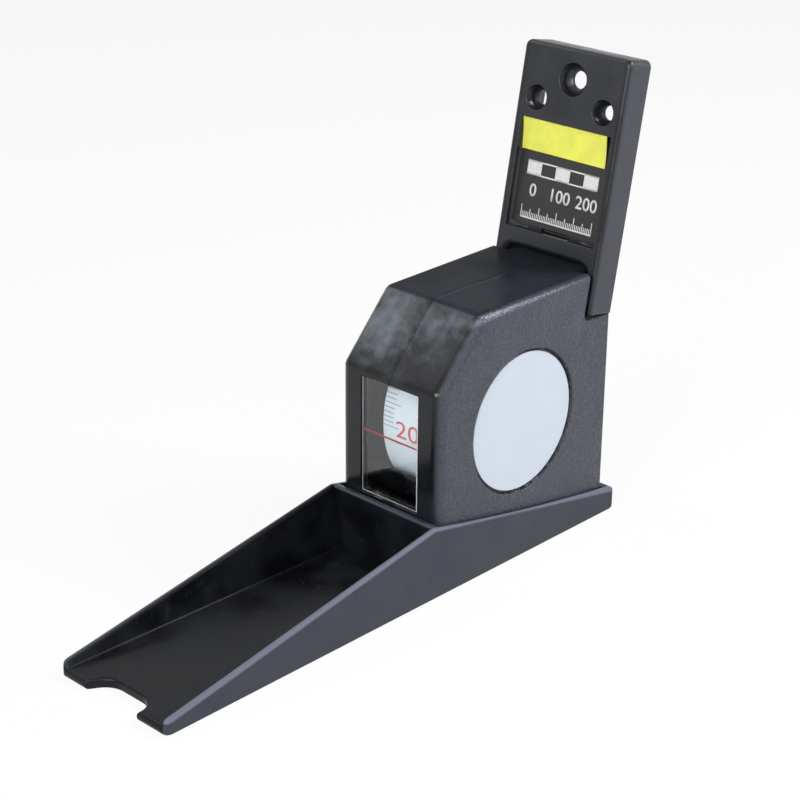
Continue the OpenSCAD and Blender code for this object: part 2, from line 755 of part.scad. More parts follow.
// Yellow strip: its lower edge lies on the card's level, its upper edge stands forward
module yellow_strip() {
    y0 = pocket_z + card_foot + card_h + fit_gap;
    h = pocket_h - card_foot - card_h - 2 * fit_gap;
    color("#f0ec6a") on_plate() translate([-pocket_w / 2 + fit_gap, y0, plate_t - pocket_d])
        rotate([90, 0, 90]) linear_extrude(strip_w)
            polygon([[0, 0], [h, 0], [h, card_t + h * tan(strip_tilt)], [0, card_t]]);
}

head_paddle();
case_left();
case_right();
window();
reading_line();
disc_left();
disc_right();
case_screws();
paddle_screws();
spindle();
drum();
drum_cap();
power_spring();
tape_coil();
tape_run();
tape_lead();
tape_clip();
tape_rivets();
wall_plate();
hinge_pin();
label_card();
yellow_strip();
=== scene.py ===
"""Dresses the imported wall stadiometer: mouldings, pane, printed tape, label, metal parts and stage."""

import json
import math
from contextlib import contextmanager

import bmesh
import bpy
import numpy as np
from bpy.props import FloatProperty, FloatVectorProperty, IntProperty, PointerProperty
from mathutils import Matrix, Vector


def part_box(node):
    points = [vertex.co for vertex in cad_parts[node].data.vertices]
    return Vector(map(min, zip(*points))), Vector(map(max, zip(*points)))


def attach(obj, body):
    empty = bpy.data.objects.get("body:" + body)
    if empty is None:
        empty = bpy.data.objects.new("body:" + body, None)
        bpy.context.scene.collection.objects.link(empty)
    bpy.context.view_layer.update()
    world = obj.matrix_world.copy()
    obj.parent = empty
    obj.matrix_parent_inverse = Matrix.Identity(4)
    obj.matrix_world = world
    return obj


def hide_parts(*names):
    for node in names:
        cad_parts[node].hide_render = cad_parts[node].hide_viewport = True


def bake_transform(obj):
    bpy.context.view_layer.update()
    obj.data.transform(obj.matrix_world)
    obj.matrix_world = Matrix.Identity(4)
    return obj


bl_info = {
    "name": "Wall stadiometer",
    "version": (1, 0, 0),
    "blender": (4, 5, 0),
    "location": "3D View > Sidebar > Stadiometer",
    "description": "Mouldings, pane, printed tape, label, metal parts and stage of a wall stadiometer",
    "category": "Object",
}

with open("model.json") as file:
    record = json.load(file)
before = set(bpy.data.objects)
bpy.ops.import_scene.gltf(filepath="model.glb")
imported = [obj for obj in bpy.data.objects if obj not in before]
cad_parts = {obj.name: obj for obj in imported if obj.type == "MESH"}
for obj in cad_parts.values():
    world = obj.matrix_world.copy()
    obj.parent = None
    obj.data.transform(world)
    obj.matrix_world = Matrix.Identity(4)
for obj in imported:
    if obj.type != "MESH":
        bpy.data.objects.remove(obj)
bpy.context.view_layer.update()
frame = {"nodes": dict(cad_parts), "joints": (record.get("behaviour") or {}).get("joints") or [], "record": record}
MM = 0.001


# Places read from the frame


def corner(node, end):
    """Lowest (0) or highest (1) corner of a CAD node at rest, as an array in metres."""
    return np.array(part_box(node)[end])


def middle(node):
    """Centre of a CAD node's box."""
    return (corner(node, 0) + corner(node, 1)) / 2


def reach(node):
    """How far a CAD node reaches in front of the case's back, in mm."""
    return -corner(node, 0)[1] / MM


def top(node):
    """Height of a CAD node's highest point, in mm."""
    return corner(node, 1)[2] / MM


def joint(name):
    """A joint of the frame by its name."""
    return next(j for j in frame["joints"] if j["name"] == name)


SPOOL = np.array(joint("spool_spin")["pos_m"])
LEAN = math.radians(joint("plate_tilt")["range_deg"][1])
ACROSS = np.array([1.0, 0.0, 0.0])
PLATE_UP = np.array([0.0, math.sin(LEAN), math.cos(LEAN)])
PLATE_OUT = np.array([0.0, -math.cos(LEAN), math.sin(LEAN)])
PLATE_FOOT = np.array([0.0, -0.5, 60.0]) * MM

# Sizes taken as drawn, in mm

PLATE_TALL = 68.2
PLATE_THICK = 9.0
LEG_IN = 14.6
LEG_TALL = 12.8
POCKET = (-15.3, 17.6, 15.3, 47.6)
# Across, height and radius of the wall screws' recesses, and across and depth of the tray's screws
WALL_SCREWS = ((0, 60, 4.4), (-11.3, 53.3, 3.35), (11.3, 53.3, 3.35))
TRAY_SCREWS = ((-9, -13.5), (-9, -55), (9, -13.5), (9, -55))
# Tray: how far its peak stands in front of the case's back, and the heights of lip and tail
PEAK = 70.3
LIP_TOP = 3.8
TAIL_TOP = 6.9
# How far the pane laps behind the case's front all round
PANE_LAP = 1.2
DISC_GAP = 0.9
TAPE_THICK = 0.3
# Corners closer than this, in metres, are one corner
JOIN = 2e-6


# Sizes and colours that a user would change


def length(name, default, low, high, text):
    """A length in metres, typed in millimetres here."""
    return FloatProperty(name=name, description=text, default=default * MM, min=low * MM,
                         max=high * MM, subtype="DISTANCE", unit="LENGTH", precision=5)


def ratio(name, default, low, high, text):
    """A plain factor."""
    return FloatProperty(name=name, description=text, default=default, min=low, max=high,
                         subtype="FACTOR")


def watts(name, default, text):
    """A lamp's power."""
    return FloatProperty(name=name, description=text, default=default, min=0.0, max=50.0,
                         subtype="POWER", unit="POWER")


def colour(name, default, text):
    """A plain colour."""
    return FloatVectorProperty(name=name, description=text, default=default, size=3, min=0.0,
                               max=1.0, subtype="COLOR")


class StadiometerMouldings(bpy.types.PropertyGroup):
    rim_round: length("Tray rim", 0.8, 0.3, 0.85, "Radius of the tray's rim, outside and inside")
    nose_round: length("Tray lip", 1.2, 0.6, 1.3, "Radius of the tray's front lip")
    mouth_round: length("Openings", 0.35, 0.1, 0.6, "Radius of the mouths of openings")
    plate_round: length("Plate edge", 1.3, 1.28, 1.32, "Radius of the wall plate's front edges")
    plastic: colour("Plastic", (0.0062, 0.0068, 0.0090), "Colour of the black mouldings")
    bloom: ratio("Bloom", 8.0, 1.0, 12.0, "How much lighter grained sides are")
    grain: ratio("Grain", 0.5, 0.0, 1.0, "Depth of the eroded grain on the case's sides")


class StadiometerTape(bpy.types.PropertyGroup):
    division: length("Division", 1.28, 0.9, 1.4, "Pitch of the printed divisions on the coil")
    short_mark: length("Short mark", 3.7, 1.0, 5.0, "Length of a short mark")
    long_mark: length("Long mark", 5.6, 2.0, 8.0, "Length of every fifth mark")
    mark_width: length("Mark width", 0.24, 0.1, 0.5, "Thickness of a mark")
    figure_height: length("Figure height", 4.7, 3.0, 7.0, "Height of the printed figures")
    figure_width: ratio("Figure width", 1.3, 0.8, 1.6, "How much the figures are stretched")
    core: length("Core", 22.42, 20.0, 24.0, "Radius of the wound tape's inner turn")
    last_figure: IntProperty(name="Last figure", description="Figure at the end of the scale",
                             default=200, min=100, max=300)
    white: colour("Tape", (0.64, 0.69, 0.73), "Colour of the coated tape")
    red: colour("Red", (0.62, 0.045, 0.05), "Colour of the reading line and of round figures")


class StadiometerLabel(bpy.types.PropertyGroup):
    dark: colour("Card", (0.021, 0.020, 0.020), "Colour of the printed card")
    ink: colour("Ink", (0.80, 0.80, 0.82), "Colour of the card's print")
    yellow: colour("Strip", (0.85, 0.85, 0.12), "Colour of the plain strip")
    disc: colour("Disc", (0.62, 0.68, 0.78), "Colour of the discs in the case's sides")


class StadiometerStage(bpy.types.PropertyGroup):
    lens: FloatProperty(name="Lens", description="Focal length", default=89.97, min=20.0,
                        max=200.0, subtype="DISTANCE_CAMERA")
    key: watts("Key lamp", 1.2, "Power of the key lamp")
    rim: watts("Rim lamp", 3.0, "Power of the lamp behind")
    front: watts("Front lamp", 3.2, "Power of the lamp in front")
    gloss: watts("Gloss lamp", 0.45, "Power of the lamp that the chamfer reflects")
    fill: ratio("Ambient", 0.14, 0.0, 2.0, "Strength of the room's light")


# Shader maths


class Wire:
    """An output socket. Python's operators on wires and numbers add Math nodes."""

    def __init__(self, recipe, socket):
        self.recipe = recipe
        self.socket = socket

    def sums(self, operation, *terms):
        return self.recipe.node("ShaderNodeMath", dict(enumerate(terms)), operation=operation)

    def __add__(self, other):
        return self.sums("ADD", self, other)

    def __sub__(self, other):
        return self.sums("SUBTRACT", self, other)

    def __rsub__(self, other):
        return self.sums("SUBTRACT", other, self)

    def __mul__(self, other):
        return self.sums("MULTIPLY", self, other)

    def __truediv__(self, other):
        return self.sums("DIVIDE", self, other)

    def __rtruediv__(self, other):
        return self.sums("DIVIDE", other, self)

    def __lt__(self, other):
        return self.sums("LESS_THAN", self, other)

    def __gt__(self, other):
        return self.sums("GREATER_THAN", self, other)

    def __abs__(self):
        return self.sums("ABSOLUTE", self)

    __radd__ = __add__
    __rmul__ = __mul__

    def away(self, period):
        """Distance to the nearest whole multiple of period."""
        return abs(self.sums("FRACT", self / period + 0.5) - 0.5) * period

    def ramp(self, low, high, first=0.0, last=1.0):
        """Goes smoothly from first at low to last at high."""
        return self.recipe.node("ShaderNodeMapRange", interpolation_type="SMOOTHSTEP", sockets={
            0: self, 1: low, 2: high, 3: first, 4: last})

    def beside(self, *keys):
        """Outputs of the same node, by number or name."""
        return [Wire(self.recipe, self.socket.node.outputs[key]) for key in keys]


class Recipe:
    """The nodes of a material, or of the room, under construction. Lengths are in mm."""

    def __init__(self, name, kind="materials"):
        self.owner = getattr(bpy.data, kind).new(name)
        self.owner.use_nodes = True
        self.tree = self.owner.node_tree
        self.tree.nodes.clear()

    def node(self, kind, sockets=None, out=0, **settings):
        """Adds one node: its settings first, then the values or links of its sockets."""
        made = self.tree.nodes.new(kind)
        for key, value in settings.items():
            setattr(made, key, value)
        for key, value in (sockets or {}).items():
            if isinstance(value, Wire):
                self.tree.links.new(value.socket, made.inputs[key])
            elif made.inputs[key].type == "RGBA":
                made.inputs[key].default_value = (*tuple(value)[:3], 1.0)
            else:
                made.inputs[key].default_value = value
        return Wire(self, made.outputs[out]) if made.outputs else None

    def place(self):
        """Object coordinates, in metres in the frame."""
        return self.node("ShaderNodeTexCoord", out="Object")

    def axes(self, place):
        """The x, y and z of a place, in mm."""
        return [axis / MM for axis in
                self.node("ShaderNodeSeparateXYZ", {0: place}).beside(0, 1, 2)]

    def noise(self, vector, size, detail=2.0, rough=0.5):
        """Noise whose lumps are about size across."""
        return self.node("ShaderNodeTexNoise", {"Vector": vector, "Scale": 1 / (size * MM),
                                                "Detail": detail, "Roughness": rough})

    def mix(self, factor, a, b):
        """Colour a where factor is 0, b where it is 1."""
        return self.node("ShaderNodeMix", {0: factor, 6: a, 7: b}, 2, data_type="RGBA")

    def blend(self, factor, a, b):
        """Shader a where factor is 0, b where it is 1."""
        return self.node("ShaderNodeMixShader", {0: factor, 1: a, 2: b})

    def bump(self, height, depth, strength=1.0):
        """Normal of a surface raised by height times depth."""
        return self.node("ShaderNodeBump", {"Height": height, "Distance": depth * MM,
                                            "Strength": strength})

    def surface(self, tint, rough, **sockets):
        """A Principled BSDF with the named sockets, underscores standing for spaces."""
        named = {key.replace("_", " "): value for key, value in sockets.items()}
        return self.node("ShaderNodeBsdfPrincipled", {"Base Color": tint, "Roughness": rough,
                                                      **named})

    def seen(self):
        """1 to camera, gloss and glass, 0 to matt surfaces."""
        rays = self.node("ShaderNodeLightPath")
        camera, gloss, glass = rays.beside("Is Camera Ray", "Is Glossy Ray",
                                           "Is Transmission Ray")
        total = camera + gloss + glass
        return total.sums("MINIMUM", total, 1.0)

    def finish(self, shader, kind="Material"):
        """Joins a shader to the output and returns the finished material or room."""
        self.node(f"ShaderNodeOutput{kind}", {"Surface": shader})
        return self.owner


def shaded(base, share):
    """A colour made lighter or darker by a share."""
    return tuple(min(1.0, channel * share) for channel in base)


def black_moulding(name, sizes, roughness, grain, grain_size, outside, bloom, lumps, shine,
                   painted_highlight=None, painted_sheen=None, painted_top_tone=None):
    """Black ABS: satin or eroded grain outside, smoother and darker inside.

    outside(axes) is 1 on the grained faces; there the grain, grain mm deep, scatters light, so
    that the colour is bloom times as light. painted_highlight(axes) is 1 where a highlight is
    painted along the round of an edge, painted_sheen(axes, noise) where a sheen is painted on a
    flat face as lighter patches, painted_top_tone(axes) where a face mirrors nothing and a flat
    tone is painted in place of its reflection. Flow marks cover the rest."""
    r = Recipe(name)
    base = tuple(sizes.plastic)
    painted_sheen_colour = (0.15, 0.175, 0.205)
    place = r.place()
    axes = r.axes(place)
    fine = r.noise(place, grain_size)
    flow = r.noise(place, 12)
    haze = r.noise(place, 3.2, 3.0, 0.55)
    speck = r.noise(place, 0.5, 1.0)
    mask = outside(axes)
    dark = r.mix(flow.ramp(0.35, 0.65), shaded(base, 0.7), shaded(base, 1.6))
    # Painted sheen: under its mask a flat face gets lighter bluish grey patches in place of soft reflections
    if painted_sheen:
        dark = r.mix(painted_sheen(axes, flow + haze * 0.5), dark, painted_sheen_colour)
    light = r.mix(fine.ramp(0.38, 0.64), shaded(base, bloom * (1 - lumps)),
                  shaded(base, bloom * (1 + lumps)))
    tint = r.mix(mask, dark, light)
    scuffs = haze.ramp(0.58, 0.74)
    tint = r.mix(scuffs * 0.3, tint, shaded(base, 4.5))
    rough = flow.ramp(0.3, 0.7, roughness - 0.11, roughness + 0.11) + scuffs * 0.1
    rough = rough + mask * 0.05 + (speck - 0.5) * 0.06
    # Painted highlight: under its mask an edge's round is made 3.1 times as light as the grain and a little
    # glossier
    if painted_highlight:
        edge = painted_highlight(axes)
        tint = r.mix(edge, tint, shaded(base, bloom * 3.1))
        rough = rough - edge * 0.08
    depth = (fine - 0.5) * (mask * 0.94 + 0.06) + (haze - 0.5) * 0.12
    normal = r.bump(depth, grain)
    skin = r.surface(tint, rough, Normal=normal, Specular_IOR_Level=shine)
    # Painted tone: under the mask the surface mirrors nothing, and a flat colour 4.2 times the base stands in for
    # its reflection
    if painted_top_tone:
        plain = r.surface(shaded(base, 4.2), rough, Normal=normal, Specular_IOR_Level=0.0)
        skin = r.blend(painted_top_tone(axes), skin, plain)
    return r.finish(skin)


def case_sides(axes):
    """1 on the case's flat sides and back, 0 on its front, chamfer and top."""
    sides = abs(axes[0]).ramp(15.6, 17.2)
    return sides.sums("MAXIMUM", sides, axes[1].ramp(-0.4, -0.2))


def case_edge_painted_highlight(axes):
    """Painted highlight: up to 1 on the rounds between the case's top and its sides, broken up by the grain."""
    high = top("case_right")
    across, r = abs(axes[0]), axes[0].recipe
    band = across.ramp(15.4, 16.2) * across.ramp(17.6, 17.2)
    grain = r.noise(r.place(), 0.5).ramp(0.36, 0.56)
    return band * axes[2].ramp(high - 3.0, high - 2.0) * grain


def case_top_painted_tone(axes):
    """Three quarters on the case's flat top, 0 elsewhere: there a flat tone is painted in place of the top's
    reflection.
    """
    high = top("case_right")
    return axes[2].ramp(high - 1.1, high - 0.2, 0.0, 0.75)


def chamfer_painted_sheen(axes, noise):
    """Painted sheen on the case's chamfer: lighter patches, stronger to the upper left, fading to its lower edge.
    """
    across, deep, high = axes
    rise = high.ramp(54, 60) * deep.ramp(-50, -54)
    left = across.ramp(12, -17, -0.02, 0.24)
    upper = high.ramp(56, 73, -0.04, 0.08)
    return (noise + left + upper).ramp(0.72, 1.22) * rise


def tray_outside(axes):
    """1 on the tray's outer walls."""
    return abs(axes[0]).ramp(18.2, 18.7)


def tray_rim_painted_highlight(axes):
    """Painted highlight: 1 on the outer round of the tray's right rim, the last millimetre under the
    lower of its two slopes. Less on the left rim and on the top of the cross wall."""
    across, deep, up = axes
    front, high = reach("head_paddle"), top("head_paddle")
    slope = (deep + front) * ((high - LIP_TOP) / (front - PEAK)) + LIP_TOP
    rear = (deep + PEAK) * ((TAIL_TOP - high) / PEAK) + high
    below = slope.sums("MINIMUM", slope, rear) - up
    outer = across.ramp(17.9, 18.4) + across.ramp(-17.9, -18.4, 0.0, 0.2)
    cross = (abs(deep + (PEAK - 1.2)) < 1.3) * below.ramp(0.9, 0.4)
    return outer * below.ramp(1.15, 0.5) + (1 - outer) * cross * 0.35


def plate_grain_and_painted_band(axes):
    """1 on the wall plate's narrow grained sides; 0.26 on its satin front, a little grain and a painted sheen; 0
    on the round between, a painted dark reflection.
    """
    across = abs(axes[0])
    return across.ramp(15.9, 16.6, 0.26, 0.0) + across.ramp(17.5, 17.95)


def tape_finish(name, sizes, start, stop, wound):
    """Coated tape with printed divisions along one margin, from start to stop metres.

    The place along the tape comes from the UV map on the coil, and from height on the free tape."""
    r = Recipe(name)
    place = r.place()
    if wound:
        along, across = r.node("ShaderNodeSeparateXYZ", {
            0: r.node("ShaderNodeUVMap", uv_map="tape")}).beside(0, 1)
        pitch = sizes.division
    else:
        across, along = r.node("ShaderNodeSeparateXYZ", {0: place}).beside(0, 2)
        across = across + 8 * MM
        pitch = MM
    marks = along.away(pitch) < sizes.mark_width / 2
    fifth = along.away(5 * pitch) < pitch / 2
    across_to = sizes.short_mark + fifth * (sizes.long_mark - sizes.short_mark)
    printed = marks * (along > start) * (along < stop) * (across < across_to)
    cloud = r.noise(place, 4, 3.0)
    white = r.mix(cloud.ramp(0.3, 0.7), shaded(sizes.white, 0.95), sizes.white)
    tint = r.mix(printed * 0.78, white, (0.045, 0.055, 0.06))
    return r.finish(r.surface(tint, cloud.ramp(0.3, 0.7, 0.34, 0.46), Specular_IOR_Level=0.4,
                              Normal=r.bump(r.noise(place, 0.22), 0.012, 0.6)))


def ink_finish(name, base):
    """Screen-printed ink: slightly uneven cover and gloss."""
    r = Recipe(name)
    cloud = r.noise(r.place(), 0.6)
    tint = r.mix(cloud.ramp(0.35, 0.65), shaded(base, 0.88), base)
    return r.finish(r.surface(tint, cloud.ramp(0.3, 0.7, 0.35, 0.5),
                              Normal=r.bump(cloud, 0.01, 0.5)))


def card_finish(name, base, fibre=0.25, gloss=0.42, cloudy=0.07):
    """Coated card: paper fibre under the coat, a few light scuffs."""
    r = Recipe(name)
    place = r.place()
    fibres = r.noise(place, fibre, 4.0, 0.65)
    cloud = r.noise(place, 6)
    tint = r.mix(cloud.ramp(0.3, 0.7), shaded(base, 1 - cloudy), shaded(base, 1 + cloudy))
    tint = r.mix(fibres.ramp(0.62, 0.8, 0.0, 0.35), tint, shaded(base, 1 + 3 * cloudy))
    return r.finish(r.surface(tint, fibres.ramp(0.3, 0.7, gloss - 0.06, gloss + 0.08),
                              Normal=r.bump(fibres, 0.012, 0.7)))


def metal_finish(name, base, roughness, brush, axis=0):
    """Turned, drawn or rolled metal: fine lines across one axis, a few darker spots."""
    r = Recipe(name)
    place = r.place()
    stretch = [1.0, 1.0, 1.0]
    stretch[axis] = 0.06
    lined = r.node("ShaderNodeMapping", {"Vector": place, "Scale": tuple(stretch)})
    lines = r.noise(lined, brush, 3.0, 0.6)
    spots = r.noise(place, 1.1, 3.0, 0.6)
    tint = r.mix(spots.ramp(0.5, 0.75), base, shaded(base, 0.72))
    tint = r.mix(lines.ramp(0.3, 0.7, 0.0, 0.3), tint, shaded(base, 1.18))
    return r.finish(r.surface(tint, lines.ramp(0.3, 0.7, roughness - 0.07, roughness + 0.09),
                              Metallic=1.0, Normal=r.bump(lines, 0.01, 0.5)))


def acetal_finish(name, base):
    """Natural acetal: milky, faintly clouded, waxy gloss."""
    r = Recipe(name)
    place = r.place()
    cloud = r.noise(place, 5, 3.0)
    tint = r.mix(cloud.ramp(0.3, 0.7), shaded(base, 0.93), base)
    return r.finish(r.surface(tint, cloud.ramp(0.3, 0.7, 0.28, 0.38),
                              Normal=r.bump(r.noise(place, 0.35), 0.01, 0.6)))


def pane_finish(name):
    """Clear pane with faint wiping marks and a painted highlight, a whitish band, round its raised
    step. Shadow rays pass it, so that the chamber stays lit."""
    r = Recipe(name)
    place = r.place()
    wiped = r.node("ShaderNodeMapping", {"Vector": place, "Scale": (1.0, 1.0, 0.25)})
    smear = r.noise(wiped, 3, 4.0, 0.6)
    glass = r.surface((0.93, 0.96, 0.97), smear.ramp(0.5, 0.8, 0.0, 0.06), IOR=1.49,
                      Transmission_Weight=1.0)
    clear = r.node("ShaderNodeBsdfTransparent", {"Color": (0.9, 0.93, 0.94)})
    side, back, low = (corner("window", 0) / MM + PANE_LAP).tolist()
    across, deep, up = r.axes(place)
    from_side = -side - abs(across)
    inside = from_side.sums("MINIMUM", from_side, up - low)
    # Painted highlight: a whitish band within half a millimetre of the step's edge stands in for the light that
    # the edge catches
    edge = inside.ramp(0.5, 0.42) * (deep < back - 1.4)
    painted_edge_highlight = r.surface((0.82, 0.85, 0.88), 0.3)
    shadow = r.node("ShaderNodeLightPath", out="Is Shadow Ray")
    return r.finish(r.blend(shadow, r.blend(edge, glass, painted_edge_highlight), clear))


def floor_finish(name):
    """White floor: diffuse, so that it keeps the shadow, and white to camera, gloss and glass."""
    r = Recipe(name)
    white = r.node("ShaderNodeBsdfDiffuse", {"Color": (0.93, 0.93, 0.93)})
    bright = r.node("ShaderNodeEmission", {"Color": (1.0, 1.0, 1.0), "Strength": 1.0})
    return r.finish(r.blend(r.seen() * 0.9, white, bright))


# Meshes


def body_of(node):
    """The body that a CAD node rides on."""
    bodies = frame["record"]["behaviour"]["bodies"]
    return next(body for body, nodes in bodies.items() if node in nodes)


def slot_of(node):
    """The record's material slot of a CAD node."""
    return next(s["material_slot"] for s in frame["record"]["subparts"] if s["node"] == node)


def linked(name, data):
    """A new object in the scene."""
    held = bpy.data.objects.new(name, data)
    bpy.context.scene.collection.objects.link(held)
    return held


def add_object(name, mesh, material, node, instead=True, rides=True):
    """Links a finished mesh, gives it its material and lets it ride on a CAD node's body, instead
    of it."""
    mesh.name = name
    mesh.materials.clear()
    mesh.materials.append(material)
    piece = linked(name, mesh)
    if rides:
        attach(piece, body_of(node))
    slot_of(node)
    if instead:
        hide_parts(node)
    return piece


def coated(node, material):
    """Gives a CAD node that stays as it is its material."""
    slots = frame["nodes"][node].data.materials
    slots.clear()
    slots.append(material)


def weighed(piece, mode):
    """Lets large faces rule a piece's normals, so that flats stay flat up to the rounds."""
    normals = piece.modifiers.new("normals", "WEIGHTED_NORMAL")
    normals.mode = mode
    normals.keep_sharp = True
    normals.weight = 60


def copied(node):
    """A copy of a CAD node's mesh."""
    mesh = frame["nodes"][node].data.copy()
    for layer in list(mesh.uv_layers):
        mesh.uv_layers.remove(layer)
    return mesh


@contextmanager
def opened(mesh):
    """A mesh opened as a bmesh, and written back afterwards."""
    made = bmesh.new()
    made.from_mesh(mesh)
    yield made
    made.to_mesh(mesh)
    made.free()


def softened(node, name, material, width, segments=2):
    """A CAD node's solid with its sharp edges rolled over.

    Near corners are joined, flat areas become single faces, and each edge whose faces meet at
    more than 33 degrees becomes a round of width mm."""
    mesh = copied(node)
    with opened(mesh) as made:
        bmesh.ops.remove_doubles(made, verts=made.verts, dist=JOIN)
        bmesh.ops.dissolve_limit(made, angle_limit=math.radians(0.5), verts=made.verts,
                                 edges=made.edges)
    mesh.shade_smooth()
    piece = add_object(name, mesh, material, node)
    bevel = piece.modifiers.new("edges", "BEVEL")
    bevel.width = width * MM
    bevel.segments = segments
    bevel.limit_method = "ANGLE"
    bevel.angle_limit = math.radians(33)
    bevel.miter_outer = "MITER_ARC"
    bevel.use_clamp_overlap = True
    weighed(piece, "FACE_AREA")


def moulded(name, mesh, material, node):
    """A piece in place of a CAD node: smooth over its rounds, flat up to them."""
    mesh.shade_smooth()
    mesh.set_sharp_from_angle(angle=math.radians(38))
    weighed(add_object(name, mesh, material, node), "FACE_AREA_WITH_ANGLE")


def grid_faces(rows, columns, wrap=False):
    """Quads of a grid whose points run row by row, as an array of corner numbers."""
    a, b = np.meshgrid(np.arange(rows - 1), np.arange(columns if wrap else columns - 1),
                       indexing="ij")
    c, d = a + 1, (b + 1) % columns
    quads = np.stack([a * columns + b, c * columns + b, c * columns + d, a * columns + d], -1)
    return quads.reshape(-1, 4)


def mesh_from(name, points, faces):
    """A mesh from an array of points and a list of faces."""
    mesh = bpy.data.meshes.new(name)
    mesh.from_pydata(np.asarray(points, float).reshape(-1, 3).tolist(), [], faces)
    return mesh


def outwards(mesh, join=0.0):
    """Joins corners that are closer than join metres, and turns a closed mesh's faces outwards."""
    with opened(mesh) as made:
        if join:
            bmesh.ops.remove_doubles(made, verts=made.verts, dist=join)
        bmesh.ops.recalc_face_normals(made, faces=made.faces)
    return mesh


def swept(rings, join=JOIN):
    """A closed solid through rings of points, one ring a row, its ends closed by a face each."""
    rows, columns = rings.shape[:2]
    order = np.arange(columns)
    ends = [order.tolist(), ((rows - 1) * columns + order).tolist()]
    faces = grid_faces(rows, columns, wrap=True).tolist() + ends
    return outwards(mesh_from("solid", rings, faces), join)


def slab(points, thickness):
    """A closed sheet: the grid, its copy moved by thickness (a vector per point), and a rim."""
    rows, columns = points.shape[:2]
    upper = grid_faces(rows, columns)
    under = upper[:, ::-1] + rows * columns
    order = np.arange(rows * columns).reshape(rows, columns)
    edge = np.concatenate([order[:-1, 0], order[-1, :-1], order[:0:-1, -1], order[0, :0:-1]])
    after = np.roll(edge, -1)
    rim = np.stack([after, edge, edge + rows * columns, after + rows * columns], -1)
    both = np.concatenate([points.reshape(-1, 3), (points + thickness).reshape(-1, 3)])
    mesh = outwards(mesh_from("sheet", both, np.concatenate([upper, under, rim]).tolist()))
    mesh.shade_smooth()
    mesh.set_sharp_from_angle(angle=math.radians(40))
    return mesh


def arcs(corners, radii, steps=6):
    """Outline with round corners, and its outward normals; corners run anticlockwise, in mm.

    Corner c, with unit directions u and v to its neighbours and h half the angle between them,
    becomes the arc m + r (cos a, sin a) about m = c + (u + v) / |u + v| * r / sin h."""
    c = np.asarray(corners, float) * MM
    r = np.asarray(radii, float) * MM
    u = np.roll(c, 1, 0) - c
    v = np.roll(c, -1, 0) - c
    u /= np.linalg.norm(u, axis=1)[:, None]
    v /= np.linalg.norm(v, axis=1)[:, None]
    half = np.arccos((u * v).sum(1)) / 2
    bisector = (u + v) / np.linalg.norm(u + v, axis=1)[:, None]
    m = c + bisector * (r / np.sin(half))[:, None]
    p = c + u * (r / np.tan(half))[:, None] - m
    q = c + v * (r / np.tan(half))[:, None] - m
    start = np.arctan2(p[:, 1], p[:, 0])
    turn = np.arctan2(q[:, 1], q[:, 0]) - start
    turn = (turn + 3 * math.pi) % (2 * math.pi) - math.pi
    a = start[:, None] + turn[:, None] * np.linspace(0, 1, steps + 1)
    way = np.stack([np.cos(a), np.sin(a)], -1)
    points = m[:, None] + r[:, None, None] * way
    return points.reshape(-1, 2), (way * np.sign(turn)[:, None, None]).reshape(-1, 2)


def ring(x, y, radius):
    """Round outline, as a square whose corners are quarter circles."""
    square = np.array([[-1, -1], [1, -1], [1, 1], [-1, 1]]) * radius + [x, y]
    return arcs(square, [radius * 0.9999] * 4, 12)


def oblong(x0, y0, x1, y1, radius, steps=4):
    """Oblong outline with round corners."""
    return arcs([[x0, y0], [x1, y0], [x1, y1], [x0, y1]], [radius] * 4, steps)


def prism(outline, levels, place):
    """Closed solid: the outline moved outwards by each level's first number, at its second (mm)."""
    points, normals = outline
    out, high = (np.asarray(levels, float) * MM).T
    rings = points + normals * out[:, None, None]
    high = np.broadcast_to(high[:, None], rings.shape[:2])
    return swept(place(rings[..., 0], rings[..., 1], high))


def mouth(foot, surface, radius, steps=5):
    """Levels of a cutter with a flaring mouth: a wall from foot, an arc that leaves the surface
    with a radius (all in mm), and a part clear of it."""
    a = np.radians(np.linspace(0, 76, steps + 1))
    high = surface + 0.004 - radius * math.sin(a[-1])
    arc = np.stack([radius * (1 - np.cos(a)), high + radius * np.sin(a)], -1) - [0.01, 0]
    clear = arc[-1] + 0.3 * np.array([math.sin(a[-1]), math.cos(a[-1])])
    return np.array([[-0.01, foot], *arc, clear, [clear[0], surface + 2]])


def rolled(radius, high, out=0.0, steps=8):
    """Levels of an upper edge that is rolled over: r (1 - cos a) in and r (1 - sin a) down."""
    a = np.linspace(0, math.pi / 2, steps)
    return np.stack([out - radius * (1 - np.cos(a)), high - radius * (1 - np.sin(a))], -1)


def mirrored(levels):
    """The same levels on the other side of height 0."""
    return levels[::-1] * [1, -1]


def combined(mesh, kind, cutter):
    """The Boolean of two closed meshes. Where rounding leaves it open, the cutter is moved by a few
    microns and the Boolean is made again."""
    for shift in (0, 3e-6, -5e-6, 8e-6, -1.2e-5):
        moved = cutter.copy()
        moved.transform(Matrix.Translation((shift, 0.7 * shift, -shift)))
        work, tool = linked("work", mesh), linked("tool", moved)
        step = work.modifiers.new("step", "BOOLEAN")
        step.operation = kind
        step.solver = "EXACT"
        step.object = tool
        result = shown(work)
        bpy.data.objects.remove(tool)
        bpy.data.meshes.remove(moved)
        with opened(result) as made:
            bmesh.ops.remove_doubles(made, verts=made.verts, dist=JOIN / 10)
            bmesh.ops.dissolve_degenerate(made, dist=JOIN / 10, edges=made.edges)
            bmesh.ops.recalc_face_normals(made, faces=made.faces)
            closed = len(made.faces) > 0 and all(edge.is_manifold for edge in made.edges)
        if closed:
            return result
    raise RuntimeError(f"{kind.lower()} of {mesh.name} stays open")


